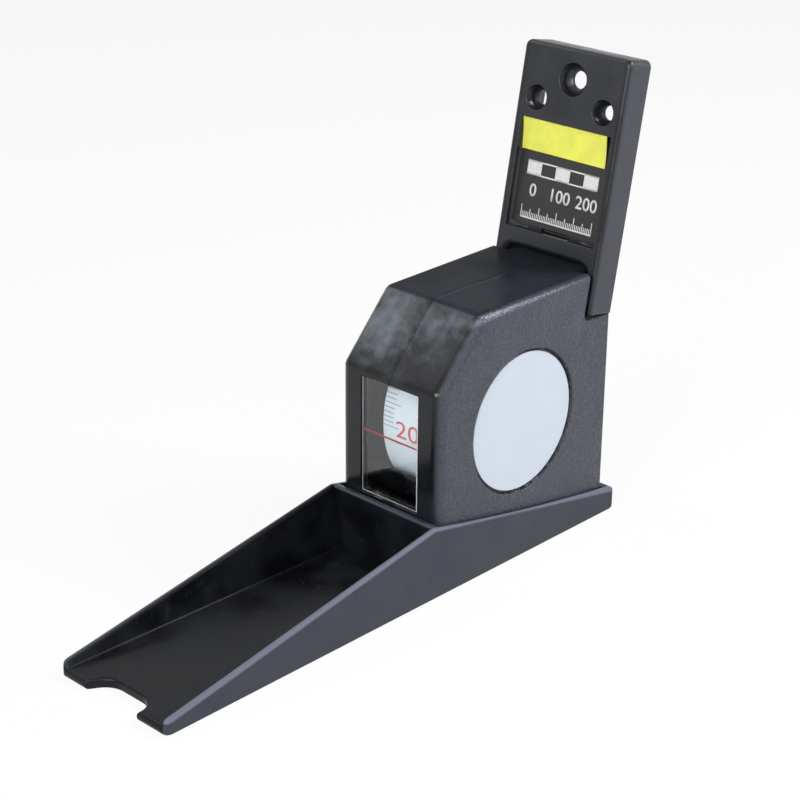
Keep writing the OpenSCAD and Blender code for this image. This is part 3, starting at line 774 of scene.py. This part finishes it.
def carved(mesh, cuts=(), keeps=(), adds=()):
    """A closed mesh joined with adds, and what is left inside each of keeps and outside cuts."""
    for kind, group in (("UNION", adds), ("INTERSECT", keeps), ("DIFFERENCE", cuts)):
        for cutter in group:
            mesh = combined(mesh, kind, cutter)
    return mesh


def solid_copy(node):
    """A copy of a CAD node's mesh as a closed solid."""
    return outwards(copied(node), JOIN)


def shown(held):
    """The mesh that an object shows, with its modifiers. The object is removed."""
    bpy.context.view_layer.update()
    seen = held.evaluated_get(bpy.context.evaluated_depsgraph_get())
    mesh = bpy.data.meshes.new_from_object(seen)
    bpy.data.objects.remove(held)
    return mesh


def points_of(mesh):
    """A mesh's corners, as rows of an array."""
    flat = np.zeros(len(mesh.vertices) * 3)
    mesh.vertices.foreach_get("co", flat)
    return flat.reshape(-1, 3)


def flat_figures(text, height, thick=0.0):
    """Outline figures as a flat mesh in the x-y plane, centred, height metres high."""
    curve = bpy.data.curves.new("figures", "FONT")
    curve.body = text
    curve.align_x = "CENTER"
    curve.size = 1.0
    curve.offset = thick
    curve.resolution_u = 6
    mesh = shown(linked("figures", curve))
    bpy.data.curves.remove(curve)
    points = points_of(mesh)
    low, high = points[:, 1].min(), points[:, 1].max()
    points[:, 1] -= (low + high) / 2
    mesh.vertices.foreach_set("co", (points * (height / (high - low))).ravel())
    return mesh


def laid_on(mesh, place, step, lift):
    """Lays a flat mesh on a surface: cut into strips step high, each point (u, v) goes to
    place(u, v, h), and a copy at h = 0 closes it below the printed face at h = lift."""
    with opened(mesh) as made:
        bmesh.ops.remove_doubles(made, verts=made.verts, dist=1e-7)
        heights = [v.co.y for v in made.verts]
        for level in np.arange(min(heights) + step, max(heights), step):
            every = made.verts[:] + made.edges[:] + made.faces[:]
            bmesh.ops.bisect_plane(made, geom=every, dist=1e-8, plane_co=(0, level, 0),
                                   plane_no=(0, 1, 0))
        shell = bmesh.ops.extrude_face_region(made, geom=made.faces[:])["geom"]
        bmesh.ops.translate(made, verts=[v for v in shell if isinstance(v, bmesh.types.BMVert)],
                            vec=(0, 0, lift))
    mesh.vertices.foreach_set("co", place(*points_of(mesh).T).ravel())
    return outwards(mesh)


def spread(u, v, h, up, out):
    """Points u across, v along up and h along out, from arrays of u, v and h."""
    return np.multiply.outer(u, ACROSS) + np.multiply.outer(v, up) + np.multiply.outer(h, out)


def about_spool(across, radius, angle):
    """Points at a radius and an angle about the spool's axis."""
    return np.stack([across, SPOOL[1] + radius * np.cos(angle),
                     SPOOL[2] + radius * np.sin(angle)], -1)


def plate_place(across, high, out):
    """Point of the standing wall plate: across, up its face from its feet, out of the wall."""
    return PLATE_FOOT + spread(across, high, out, PLATE_UP, PLATE_OUT)


def window_outline(inset):
    """Outline of the case's window, moved inwards by inset (mm)."""
    lap = PANE_LAP + inset
    low, high = corner("window", 0) / MM + lap, corner("window", 1) / MM - lap
    return oblong(low[0], low[2], high[0], high[2], 0.3)


def front_place(across, up, out):
    """Point of a solid that stands out of the case's front."""
    return np.stack([across, -out, up], -1)


# Pieces


class STADIOMETER_OT_tray(bpy.types.Operator):
    """Tray with rolled rims, bull-nosed lip and coved floor"""

    bl_idname = "stadiometer.tray"
    bl_label = "Tray"

    def execute(self, context):
        sizes = context.scene.stadiometer_mouldings
        finish = black_moulding("tray_plastic", sizes, 0.36, 0.03, 0.3, tray_outside,
                                sizes.bloom, 0.06, 0.17, tray_rim_painted_highlight)
        shell = self.shell(sizes.rim_round / MM, sizes.nose_round / MM)
        moulded("tray_moulding", carved(shell, [self.notch(), *self.holes()]), finish,
                "head_paddle")
        return {"FINISHED"}

    def stations(self, front, tail):
        """Distances in front of the case's back, from the lip to the tail, and at each the depth
        of the inner surface below the rim where a wall runs across (none where it is open)."""
        cross, bed, over, foot = PEAK - 2.4, -0.1, 0.7, 0.4
        a = np.linspace(0, math.pi / 2, 9)
        b = np.linspace(0, math.pi / 2, 6)
        edge, drop = over * (1 - np.cos(b)), over * (1 - np.sin(b))
        small = foot / over
        open_front = [front - 2.4 * (1 - np.cos(a)), np.linspace(front - 2.4, PEAK + 2, 24)[1:],
                      PEAK + np.array([1.2, 0.7, 0.4, 0.2, 0.1, 0.0])]
        parts = [(y, np.full(len(y), np.inf)) for y in open_front]
        parts += [(PEAK - edge, drop), (cross + edge[::-1] * small, drop[::-1] * small),
                  (np.linspace(cross, bed, 30), np.full(30, np.inf)),
                  (bed - edge * small, drop * small),
                  (-tail + 2.2 * (1 - np.cos(a[::-1])), np.zeros(9))]
        return (np.concatenate(column) for column in zip(*parts))

    def shell(self, rim, nose):
        """Closed section swept along the tray. With y the distance in front of the case's back,
        the rim's height is the lower of front and rear slopes, blended over a hair's breadth:
        -s log(exp(-f / s) + exp(-g / s)); the ends fall away as r - sqrt(r^2 - (r - dy)^2)."""
        front, high = reach("head_paddle"), top("head_paddle")
        tail = corner("head_paddle", 1)[1] / MM
        y, drop = self.stations(front, tail)

        def fall(dy, r):
            return r - np.sqrt(r ** 2 - np.clip(r - dy, 0, r) ** 2)

        # Heights and half widths along the tray
        to_front, to_tail = front - y, y + tail
        along = (PEAK - y) / (PEAK + tail)
        forth = to_front / (front - PEAK)
        slope = LIP_TOP + (high - LIP_TOP) * forth
        rear = high + (TAIL_TOP - high) * along - 0.9 * 4 * along * (1 - along)
        crest = -0.08 * np.logaddexp(-slope / 0.08, -rear / 0.08)
        full = 18.9 + 0.8 * to_tail / (front + tail)
        half = full - fall(to_front, 2.4) - fall(to_tail, 1.2)
        bottom = fall(to_front, nose) + fall(to_tail, 1.8)
        crest = crest - fall(to_front, 1.6) - fall(to_tail, 2.2)

        # Inner wall and floor, ahead of the cross wall and under the case
        ahead = y > PEAK - 1.2
        floor = np.where(ahead, 2.6 + 1.2 * forth - fall(to_front, nose), 2.0)
        wall = np.minimum(np.where(ahead, full - 1.7, 17.75), half - 0.3)
        foot = np.minimum(np.where(ahead, full - 2.6 - 2.8 * forth, 17.74), wall - 0.01)
        wide = half - wall
        near = np.clip((wide - 0.3) / 1.2, 0, 1)
        crest = np.where(to_front < 3, floor + (crest - floor) * near ** 2 * (3 - 2 * near), crest)

        # Radii of the rounds, and the tangent of half the inner wall's lean
        span = np.hypot(wall - foot, crest - floor)
        lean = np.arccos(np.clip((wall - foot) / span, 0, 1))
        bend = np.maximum(np.tan(lean / 2), 1e-9)
        outer = np.minimum(np.minimum(rim, 0.5 * wide), 0.3 * (crest - bottom))
        inner = np.minimum(np.minimum(rim, 0.4 * wide / bend), 0.35 * span / bend)
        cove = np.minimum(np.where(ahead, 0.7, 0.3), (0.9 * span - inner * bend) / bend)
        under = np.minimum(0.5, 0.3 * (crest - bottom))
        zero = np.zeros_like(y)
        right = zero + math.pi / 2

        def bow(x, z, r, first, last, steps):
            a = first[:, None] + (last - first)[:, None] * np.linspace(0, 1, steps)
            return x[:, None] + r[:, None] * np.cos(a), z[:, None] + r[:, None] * np.sin(a)

        pieces = [(zero[:, None], bottom[:, None]),
                  bow(half - under, bottom + under, under, -right, zero, 5),
                  bow(half - outer, crest - outer, outer, zero, right, 8)]
        inside = [bow(wall + inner * bend, crest - inner, inner, right, right + lean, 7),
                  bow(foot - cove * bend, floor + cove, cove, lean - right, -right, 7),
                  (zero[:, None], floor[:, None])]
        pieces += [(x, np.maximum(z, (crest - drop)[:, None])) for x, z in inside]
        x, z = (np.concatenate(column, 1) for column in zip(*pieces))
        x = np.concatenate([x, -x[:, -2:0:-1]], 1)
        z = np.concatenate([z, z[:, -2:0:-1]], 1)
        return swept(np.stack([x, np.broadcast_to(-y[:, None], x.shape), z], -1) * MM)

    def notch(self):
        """Finger notch: a deep scoop in the lip, its upper and lower edges rolled over."""
        front = corner("head_paddle", 0)[1]
        outline = arcs([[10.2, -2.0], [8.8, -0.3], [8.8, 5.8], [-7.05, 5.8], [-10.55, 0.0],
                        [-15.5, -1.6]], [0.1, 1.3, 5, 6.4, 4.2, 0.1], 10)
        levels = np.concatenate([mirrored(mouth(-1.4, 0, 0.5)), mouth(1.5, 2.64, 0.9)])
        return prism(outline, levels, lambda a, b, c: np.stack([a + 0.6 * MM, front + b, c], -1))

    def holes(self):
        """Screw holes under the case: a recess from below and a through hole."""
        levels = np.concatenate([mirrored(mouth(-1.1, 0, 0.2)) + [1.1, 0], [[0, 1.1], [0, 4]]])
        return [prism(ring(*spot, 1.5), levels, lambda a, b, c: np.stack([a, b, c], -1))
                for spot in TRAY_SCREWS]


class STADIOMETER_OT_case(bpy.types.Operator):
    """Both case halves, grained on their sides, with soft edges round disc and window"""

    bl_idname = "stadiometer.case"
    bl_label = "Case"

    def execute(self, context):
        sizes = context.scene.stadiometer_mouldings
        finish = black_moulding("case_plastic", sizes, 0.28, 0.5 * sizes.grain, 0.6, case_sides,
                                sizes.bloom * 1.1, 0.2, 0.35, case_edge_painted_highlight, chamfer_painted_sheen, case_top_painted_tone)
        soft, front = sizes.mouth_round / MM, reach("case_right")
        for side, sign in (("left", -1), ("right", 1)):
            face = sign * corner(f"case_{side}", (sign + 1) // 2)[0] / MM
            centre, edge = middle(f"disc_{side}") / MM, corner(f"disc_{side}", 1)[1] / MM
            hole = ring(centre[1], centre[2], edge - centre[1] + DISC_GAP)
            recess = prism(hole, mouth(face - 0.8, face, soft),
                           lambda a, b, c, sign=sign: np.stack([sign * c, a, b], -1))
            window = prism(window_outline(0), mouth(front - 0.4, front, 0.3), front_place)
            moulded(f"case_moulding_{side}", carved(solid_copy(f"case_{side}"), [recess, window]),
                    finish, f"case_{side}")
        return {"FINISHED"}


class STADIOMETER_OT_window(bpy.types.Operator):
    """Pane and reading line"""

    bl_idname = "stadiometer.window"
    bl_label = "Window"

    def execute(self, context):
        red = tuple(context.scene.stadiometer_tape.red)
        pane = carved(solid_copy("window"), adds=[self.step()])
        moulded("pane", pane, pane_finish("pane_clear"), "window")
        softened("reading_line", "line_print", ink_finish("line_ink", red), 0.02, 1)
        return {"FINISHED"}

    def step(self):
        """Raised middle of the pane that fills the opening, its edge rolled over."""
        edge = rolled(0.3, reach("case_right") - 0.35, steps=5)
        return prism(window_outline(0.12), [[0, reach("window") - 0.4], *edge], front_place)


class STADIOMETER_OT_discs(bpy.types.Operator):
    """Plain pale discs in the case's sides"""

    bl_idname = "stadiometer.discs"
    bl_label = "Discs"

    def execute(self, context):
        pale = tuple(context.scene.stadiometer_label.disc)
        finish = card_finish("disc_satin", pale, 0.5, 0.5, 0.012)
        for side in ("left", "right"):
            softened(f"disc_{side}", f"disc_plate_{side}", finish, 0.14, 3)
        return {"FINISHED"}


class STADIOMETER_OT_tape(bpy.types.Operator):
    """Wound and free tape with its printed scale"""

    bl_idname = "stadiometer.tape"
    bl_label = "Tape"

    def execute(self, context):
        tape = context.scene.stadiometer_tape
        half, outer = ((corner("tape_coil", 1) - corner("tape_coil", 0)) / 2)[:2]
        self.coil(tape, half, outer)
        self.figures(tape, half, outer)
        self.free_tape(tape)
        # The hidden run stays plain: its marks would start above everything
        coated("tape_run", tape_finish("tape_plain", tape, 9.0, 9.1, False))
        return {"FINISHED"}

    def coil(self, tape, half, outer):
        """Wound tape. A point lies at radius r and angle a about the spool: r falls by one tape
        thickness over the turn, and the section (outer face, side, inner face, side) closes it."""
        leave = math.atan2(*(middle("tape_run") - SPOOL)[[2, 1]])
        thick, lip, groove = TAPE_THICK * MM, 0.05 * MM, 0.03 * MM
        turns = np.linspace(0, 2 * math.pi, 361)
        angle = leave - turns
        radius = outer - thick * turns / (2 * math.pi)
        depth = lip + np.linspace(0, 1, 12) * (outer - thick - tape.core - lip)
        side = [(-half + lip, 0.0)] + [(-half + (0 if k % 2 else groove), d)
                                       for k, d in enumerate(depth)]
        section = np.array(side[::-1] + [(-x, d) for x, d in side])
        r = radius[:, None] - section[None, :, 1]
        x = np.broadcast_to(section[:, 0], r.shape)
        mesh = swept(about_spool(x, r, angle[:, None]), 0)
        mesh.shade_smooth()
        mesh.set_sharp_from_angle(angle=math.radians(35))
        corners = np.zeros(len(mesh.loops), int)
        mesh.loops.foreach_get("vertex_index", corners)
        front = (leave - math.pi) % (2 * math.pi)
        along = (turns[corners // r.shape[1]] - front) * outer
        across = x.reshape(-1)[corners] + half
        layer = mesh.uv_layers.new(name="tape")
        layer.data.foreach_set("uv", np.stack([along, across], -1).astype(np.float32).ravel())
        finish = tape_finish("tape_print", tape, -0.4 * tape.division, 1.0, True)
        add_object("tape_wound", mesh, finish, "tape_coil")

    def figures(self, tape, half, outer):
        """Printed figures: a point (u, v) of the flat figure goes round the coil by v / radius."""
        margin, sunk = 4.6 * MM, 0.45 * TAPE_THICK * MM
        for number in range(4):
            turn = number * 10 * tape.division / outer

            def place(u, v, h, turn=turn):
                return about_spool(u, outer - sunk + h, math.pi - turn - v / outer)

            flat = flat_figures(str(tape.last_figure - number), tape.figure_height)
            points = points_of(flat)
            points[:, 0] *= tape.figure_width
            points[:, 0] += -half + margin - points[:, 0].min()
            flat.vertices.foreach_set("co", points.ravel())
            mesh = laid_on(flat, place, 0.35 * MM, 0.02 * MM)
            name, ink = f"figure_{number}", (0.03, 0.035, 0.04)
            if number == 0:
                name, ink = "figure_red", tuple(tape.red)
            add_object(name, mesh, ink_finish(f"{name}_ink", ink), "tape_coil", instead=False)

    def free_tape(self, tape):
        """Free tape: a flat band, cut into many rows so that it draws out evenly."""
        low, high = corner("tape_lead", 0), corner("tape_lead", 1)
        x, z = np.meshgrid(np.linspace(low[0], high[0], 9), np.linspace(low[2], high[2], 60))
        mesh = slab(np.stack([x, np.full_like(x, low[1]), z], -1),
                    np.array([0, high[1] - low[1], 0.0]))
        finish = tape_finish("tape_free_print", tape, high[2] + 1 * MM, 1.94, False)
        piece = add_object("tape_free", mesh, finish, "tape_lead", rides=False)
        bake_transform(piece)


class STADIOMETER_OT_metal(bpy.types.Operator):
    """Spool, spring, spindle, screws, pin, clip and rivets"""

    bl_idname = "stadiometer.metal"
    bl_label = "Spool and metal"

    def execute(self, context):
        zinc = metal_finish("zinc_plate", (0.55, 0.56, 0.58), 0.34, 0.12, 2)
        steel = metal_finish("ground_steel", (0.60, 0.60, 0.61), 0.22, 0.08)
        blued = metal_finish("spring_steel", (0.20, 0.22, 0.26), 0.3, 0.1)
        # Painted shade: the hinge pin and the clip, which sit in the plate's slot, are made nearly black so that
        # the slot stays dark
        black = metal_finish("black_oxide", (0.018, 0.019, 0.021), 0.5, 0.1)
        brass = metal_finish("rivet_brass", (0.60, 0.43, 0.17), 0.26, 0.1, 1)
        acetal = acetal_finish("acetal", (0.72, 0.70, 0.63))
        for node, finish, width in (
                ("case_screws", zinc, 0.12), ("paddle_screws", zinc, 0.12),
                ("spindle", steel, 0.15), ("hinge_pin", black, 0.12),
                ("tape_clip", black, 0.05), ("tape_rivets", brass, 0.07),
                ("drum", acetal, 0.15), ("drum_cap", acetal, 0.15)):
            softened(node, f"{node}_finished", finish, width)
        coated("power_spring", blued)
        return {"FINISHED"}


class STADIOMETER_OT_plate(bpy.types.Operator):
    """Wall plate with rolled front edges and soft mouths of its pocket and screw holes"""

    bl_idname = "stadiometer.plate"
    bl_label = "Wall plate"

    def execute(self, context):
        sizes = context.scene.stadiometer_mouldings
        finish = black_moulding("plate_plastic", sizes, 0.33, 0.03, 0.3, plate_grain_and_painted_band,
                                sizes.bloom * 0.8, 0.08, 0.45)
        soft = sizes.mouth_round / MM
        cuts = [prism(oblong(*POCKET, 0.3), mouth(PLATE_THICK - 1, PLATE_THICK, soft),
                      plate_place)]
        cuts += [prism(ring(*screw), mouth(PLATE_THICK - 1.5, PLATE_THICK, soft), plate_place)
                 for screw in WALL_SCREWS]
        mesh = carved(solid_copy("wall_plate"), cuts, [self.body(sizes.plate_round / MM)],
                      self.blocks())
        moulded("plate_moulding", mesh, finish, "wall_plate")
        return {"FINISHED"}

    def body(self, radius):
        """Body that the plate is trimmed to: its outline, rolled over towards the front with a
        radius and a little towards the back."""
        wide, below, over = corner("wall_plate", 1)[0] / MM, -4, 0.01
        outline = arcs([[-wide, below], [-LEG_IN, below], [-LEG_IN, LEG_TALL], [LEG_IN, LEG_TALL],
                        [LEG_IN, below], [wide, below], [wide, PLATE_TALL], [-wide, PLATE_TALL]],
                       [1.5, 1.5, 3, 3, 1.5, 1.5, 2, 2])
        levels = [mirrored(rolled(0.3, 0.004, over)), rolled(radius, PLATE_THICK + over, over)]
        return prism(outline, np.concatenate(levels), plate_place)

    def blocks(self):
        """Blocks that square the front corners of the legs' feet and close the pocket's floor and
        the bar's edge beside the slot, and the wall behind the slot. Each goes from near to far
        across and from low to high, from back to front, with round corners."""
        foot = (LEG_IN + 0.1, corner("wall_plate", 1)[0] / MM - 0.1, 0.03, 2.1,
                PLATE_THICK - 2.2, PLATE_THICK - 0.03, 0.02, 1)
        floor = (4.7, 9.62, 17.45, 18.77, 4.96, 6.46, 0.08, 1)
        edge = (4.64, 9.62, 16.9, 17.56, 6.3, 7.63, 0.08, 1)
        behind = (-8.2, 8.2, 15.6, 18.9, 0.07, 1.12, 0.4, 4)
        made = []
        for side, sizes in ((1, foot), (-1, foot), (-1, floor), (-1, edge), (1, floor),
                            (1, edge), (1, behind)):
            near, far, low, high, back, front, radius, steps = sizes
            left, right = sorted((side * near, side * far))
            made.append(prism(oblong(left, low, right, high, radius, steps),
                              [[0, back], [0, front]], plate_place))
        return made


class STADIOMETER_OT_label(bpy.types.Operator):
    """Card with a plain ruler print, and the yellow strip"""

    bl_idname = "stadiometer.label"
    bl_label = "Label"

    def execute(self, context):
        label = context.scene.stadiometer_label
        softened("label_card", "card", card_finish("card_dark", tuple(label.dark)), 0.05, 1)
        self.prints(label)
        self.strip(label)
        return {"FINISHED"}

    def card_place(self, u, v, h):
        """Point of the card's face: u across, v up from its middle, h out of it."""
        return (middle("label_card") + PLATE_OUT * 0.2 * MM
                + spread(u, v, h - 0.005 * MM, PLATE_UP, PLATE_OUT))

    def prints(self, label):
        """A ruler: blocks, divisions and plain figures, each a thin raised print."""
        ink = ink_finish("card_ink", tuple(label.ink))
        left, wide, pen, lift = -12.2, 24.4, 0.13, 0.025 * MM
        boxes = [(left + wide * k / 5, 3.6, left + wide * (k + 1) / 5, 7.6) for k in (0, 2, 4)]
        boxes += [(left, 7.2, -left, 7.6), (left, 3.6, -left, 4.0)]
        for k in range(41):
            tall = 3.2 if k % 10 == 0 else 2.3 if k % 5 == 0 else 1.4
            x = left + wide * k / 40
            boxes.append((x - pen, -8.0, x + pen, -8.0 + tall))
        boxes.append((left - pen, -8.4, -left + pen, -8.0))
        x0, y0, x1, y1 = (np.array(boxes) * MM).T
        u = np.stack([x0, x1, x1, x0] * 2, 1)
        v = np.stack([y0, y0, y1, y1] * 2, 1)
        h = np.array([0] * 4 + [lift] * 4) * np.ones_like(u)
        cube = np.array([[3, 2, 1, 0], [4, 5, 6, 7], [0, 1, 5, 4], [1, 2, 6, 5], [2, 3, 7, 6],
                         [3, 0, 4, 7]])
        faces = (cube[None] + 8 * np.arange(len(boxes))[:, None, None]).reshape(-1, 4)
        mesh = mesh_from("ruler", self.card_place(u, v, h), faces.tolist())
        add_object("ruler_print", mesh, ink, "label_card", instead=False)
        for k, text in enumerate(("0", "100", "200")):
            shift = (left + wide * k / 2) * MM * 0.76

            def place(u, v, h, shift=shift):
                return self.card_place(u + shift, v - 0.4 * MM, h)

            mesh = laid_on(flat_figures(text, 3.6 * MM, 0.012), place, 2 * MM, lift)
            add_object(f"card_figure_{k}", mesh, ink, "label_card", instead=False)

    def strip(self, label):
        """Strip whose upper edge springs forward: its depth grows with height to the power 1.5."""
        low, high, tall = corner("yellow_strip", 0), corner("yellow_strip", 1), 8.7 * MM
        foot = middle("label_card") + PLATE_UP * 10.15 * MM - PLATE_OUT * 0.2 * MM
        u, v = np.meshgrid(np.linspace(low[0], high[0], 25), np.linspace(0, 1, 17))
        depth = (0.12 + 1.35 * v ** 1.5) * MM
        mesh = slab(foot + spread(u, v * tall, depth, PLATE_UP, PLATE_OUT),
                    PLATE_OUT * 0.28 * MM)
        add_object("strip_sheet", mesh, card_finish("strip_yellow", tuple(label.yellow)),
                   "yellow_strip")


class STADIOMETER_OT_stage(bpy.types.Operator):
    """Camera, lamps, room and floor"""

    bl_idname = "stadiometer.stage"
    bl_label = "Stage"

    def execute(self, context):
        stage = context.scene.stadiometer_stage
        self.camera(stage)
        for name, *place in (("key", 62, 38, 0.75, 0.5), ("rim", 145, 41, 0.65, 0.2),
                             ("front", 12, 28, 0.7, 0.35), ("gloss", -70, 47, 0.7, 0.22)):
            self.lamp(name, getattr(stage, name), *place)
        r = Recipe("room", "worlds")
        level = r.seen() * (1 - stage.fill) + stage.fill
        context.scene.world = r.finish(r.node("ShaderNodeBackground", {"Strength": level}),
                                       "World")
        self.floor()
        return {"FINISHED"}

    def facing(self, turn, tilt):
        """Right, up and back of something that looks at the object from turn and tilt degrees."""
        turn, tilt = math.radians(turn), math.radians(tilt)
        back = np.array([math.sin(turn) * math.cos(tilt), -math.cos(turn) * math.cos(tilt),
                         math.sin(tilt)])
        right = np.array([math.cos(turn), math.sin(turn), 0.0])
        return right, np.cross(back, right), back

    def stand(self, name, data, directions, spot):
        """Puts a camera or a lamp at its spot, with its right, up and back."""
        held = linked(name, data)
        place = Matrix(np.stack(directions, 1).tolist()).to_4x4()
        place.translation = spot
        held.matrix_world = place
        return held

    def camera(self, stage):
        """Camera at the place fitted to the photograph's edges."""
        right, above, back = self.facing(43.580, 23.457)
        roll = math.radians(0.508)
        x = math.cos(roll) * right + math.sin(roll) * above
        y = -math.sin(roll) * right + math.cos(roll) * above
        data = bpy.data.cameras.new("camera")
        data.lens = stage.lens
        data.sensor_width = 36.0
        data.clip_start = 0.02
        bpy.context.scene.camera = self.stand("camera", data, [x, y, back],
                                              (0.325351, -0.405575, 0.253162))

    def lamp(self, name, power, turn, tilt, distance, size):
        """Square soft lamp that looks at the object's middle from turn and tilt degrees."""
        axes = self.facing(turn, tilt)
        data = bpy.data.lights.new(name, "AREA")
        data.energy = power
        data.size = size
        self.stand(name, data, axes, (np.array([0.0, -0.07, 0.05]) + axes[2] * distance).tolist())

    def floor(self):
        """A floor under the tray, just clear of it."""
        far, below = 6.0, -2e-5
        mesh = mesh_from("floor", [[-far, -far, below], [far, -far, below], [far, far, below],
                                   [-far, far, below]], [[0, 1, 2, 3]])
        mesh.materials.append(floor_finish("floor_white"))
        floor = linked("floor", mesh)


PIECES = (STADIOMETER_OT_tray, STADIOMETER_OT_case, STADIOMETER_OT_window,
          STADIOMETER_OT_discs, STADIOMETER_OT_tape, STADIOMETER_OT_metal,
          STADIOMETER_OT_plate, STADIOMETER_OT_label, STADIOMETER_OT_stage)
GROUPS = {"stadiometer_mouldings": StadiometerMouldings, "stadiometer_tape": StadiometerTape,
          "stadiometer_label": StadiometerLabel, "stadiometer_stage": StadiometerStage}


class STADIOMETER_PT_panel(bpy.types.Panel):
    """Lists the pieces of the stadiometer and their sizes"""

    bl_idname = "STADIOMETER_PT_panel"
    bl_label = "Stadiometer"
    bl_space_type = "VIEW_3D"
    bl_region_type = "UI"
    bl_category = "Stadiometer"

    def draw(self, context):
        for name, group in GROUPS.items():
            box = self.layout.box()
            for key in group.__annotations__:
                box.prop(getattr(context.scene, name), key)
        for operator in PIECES:
            self.layout.operator(operator.bl_idname)


def register():
    for group in GROUPS.values():
        bpy.utils.register_class(group)
    for name, group in GROUPS.items():
        setattr(bpy.types.Scene, name, PointerProperty(type=group))
    for operator in PIECES:
        bpy.utils.register_class(operator)
    bpy.utils.register_class(STADIOMETER_PT_panel)


def unregister():
    bpy.utils.unregister_class(STADIOMETER_PT_panel)
    for operator in reversed(PIECES):
        bpy.utils.unregister_class(operator)
    for name, group in GROUPS.items():
        delattr(bpy.types.Scene, name)
        bpy.utils.unregister_class(group)


def main():
    register()
    bpy.context.scene.view_settings.view_transform = "Standard"
    for operator in PIECES:
        getattr(bpy.ops.stadiometer, operator.bl_idname.split(".")[1])()


if __name__ == "__main__":
    main()
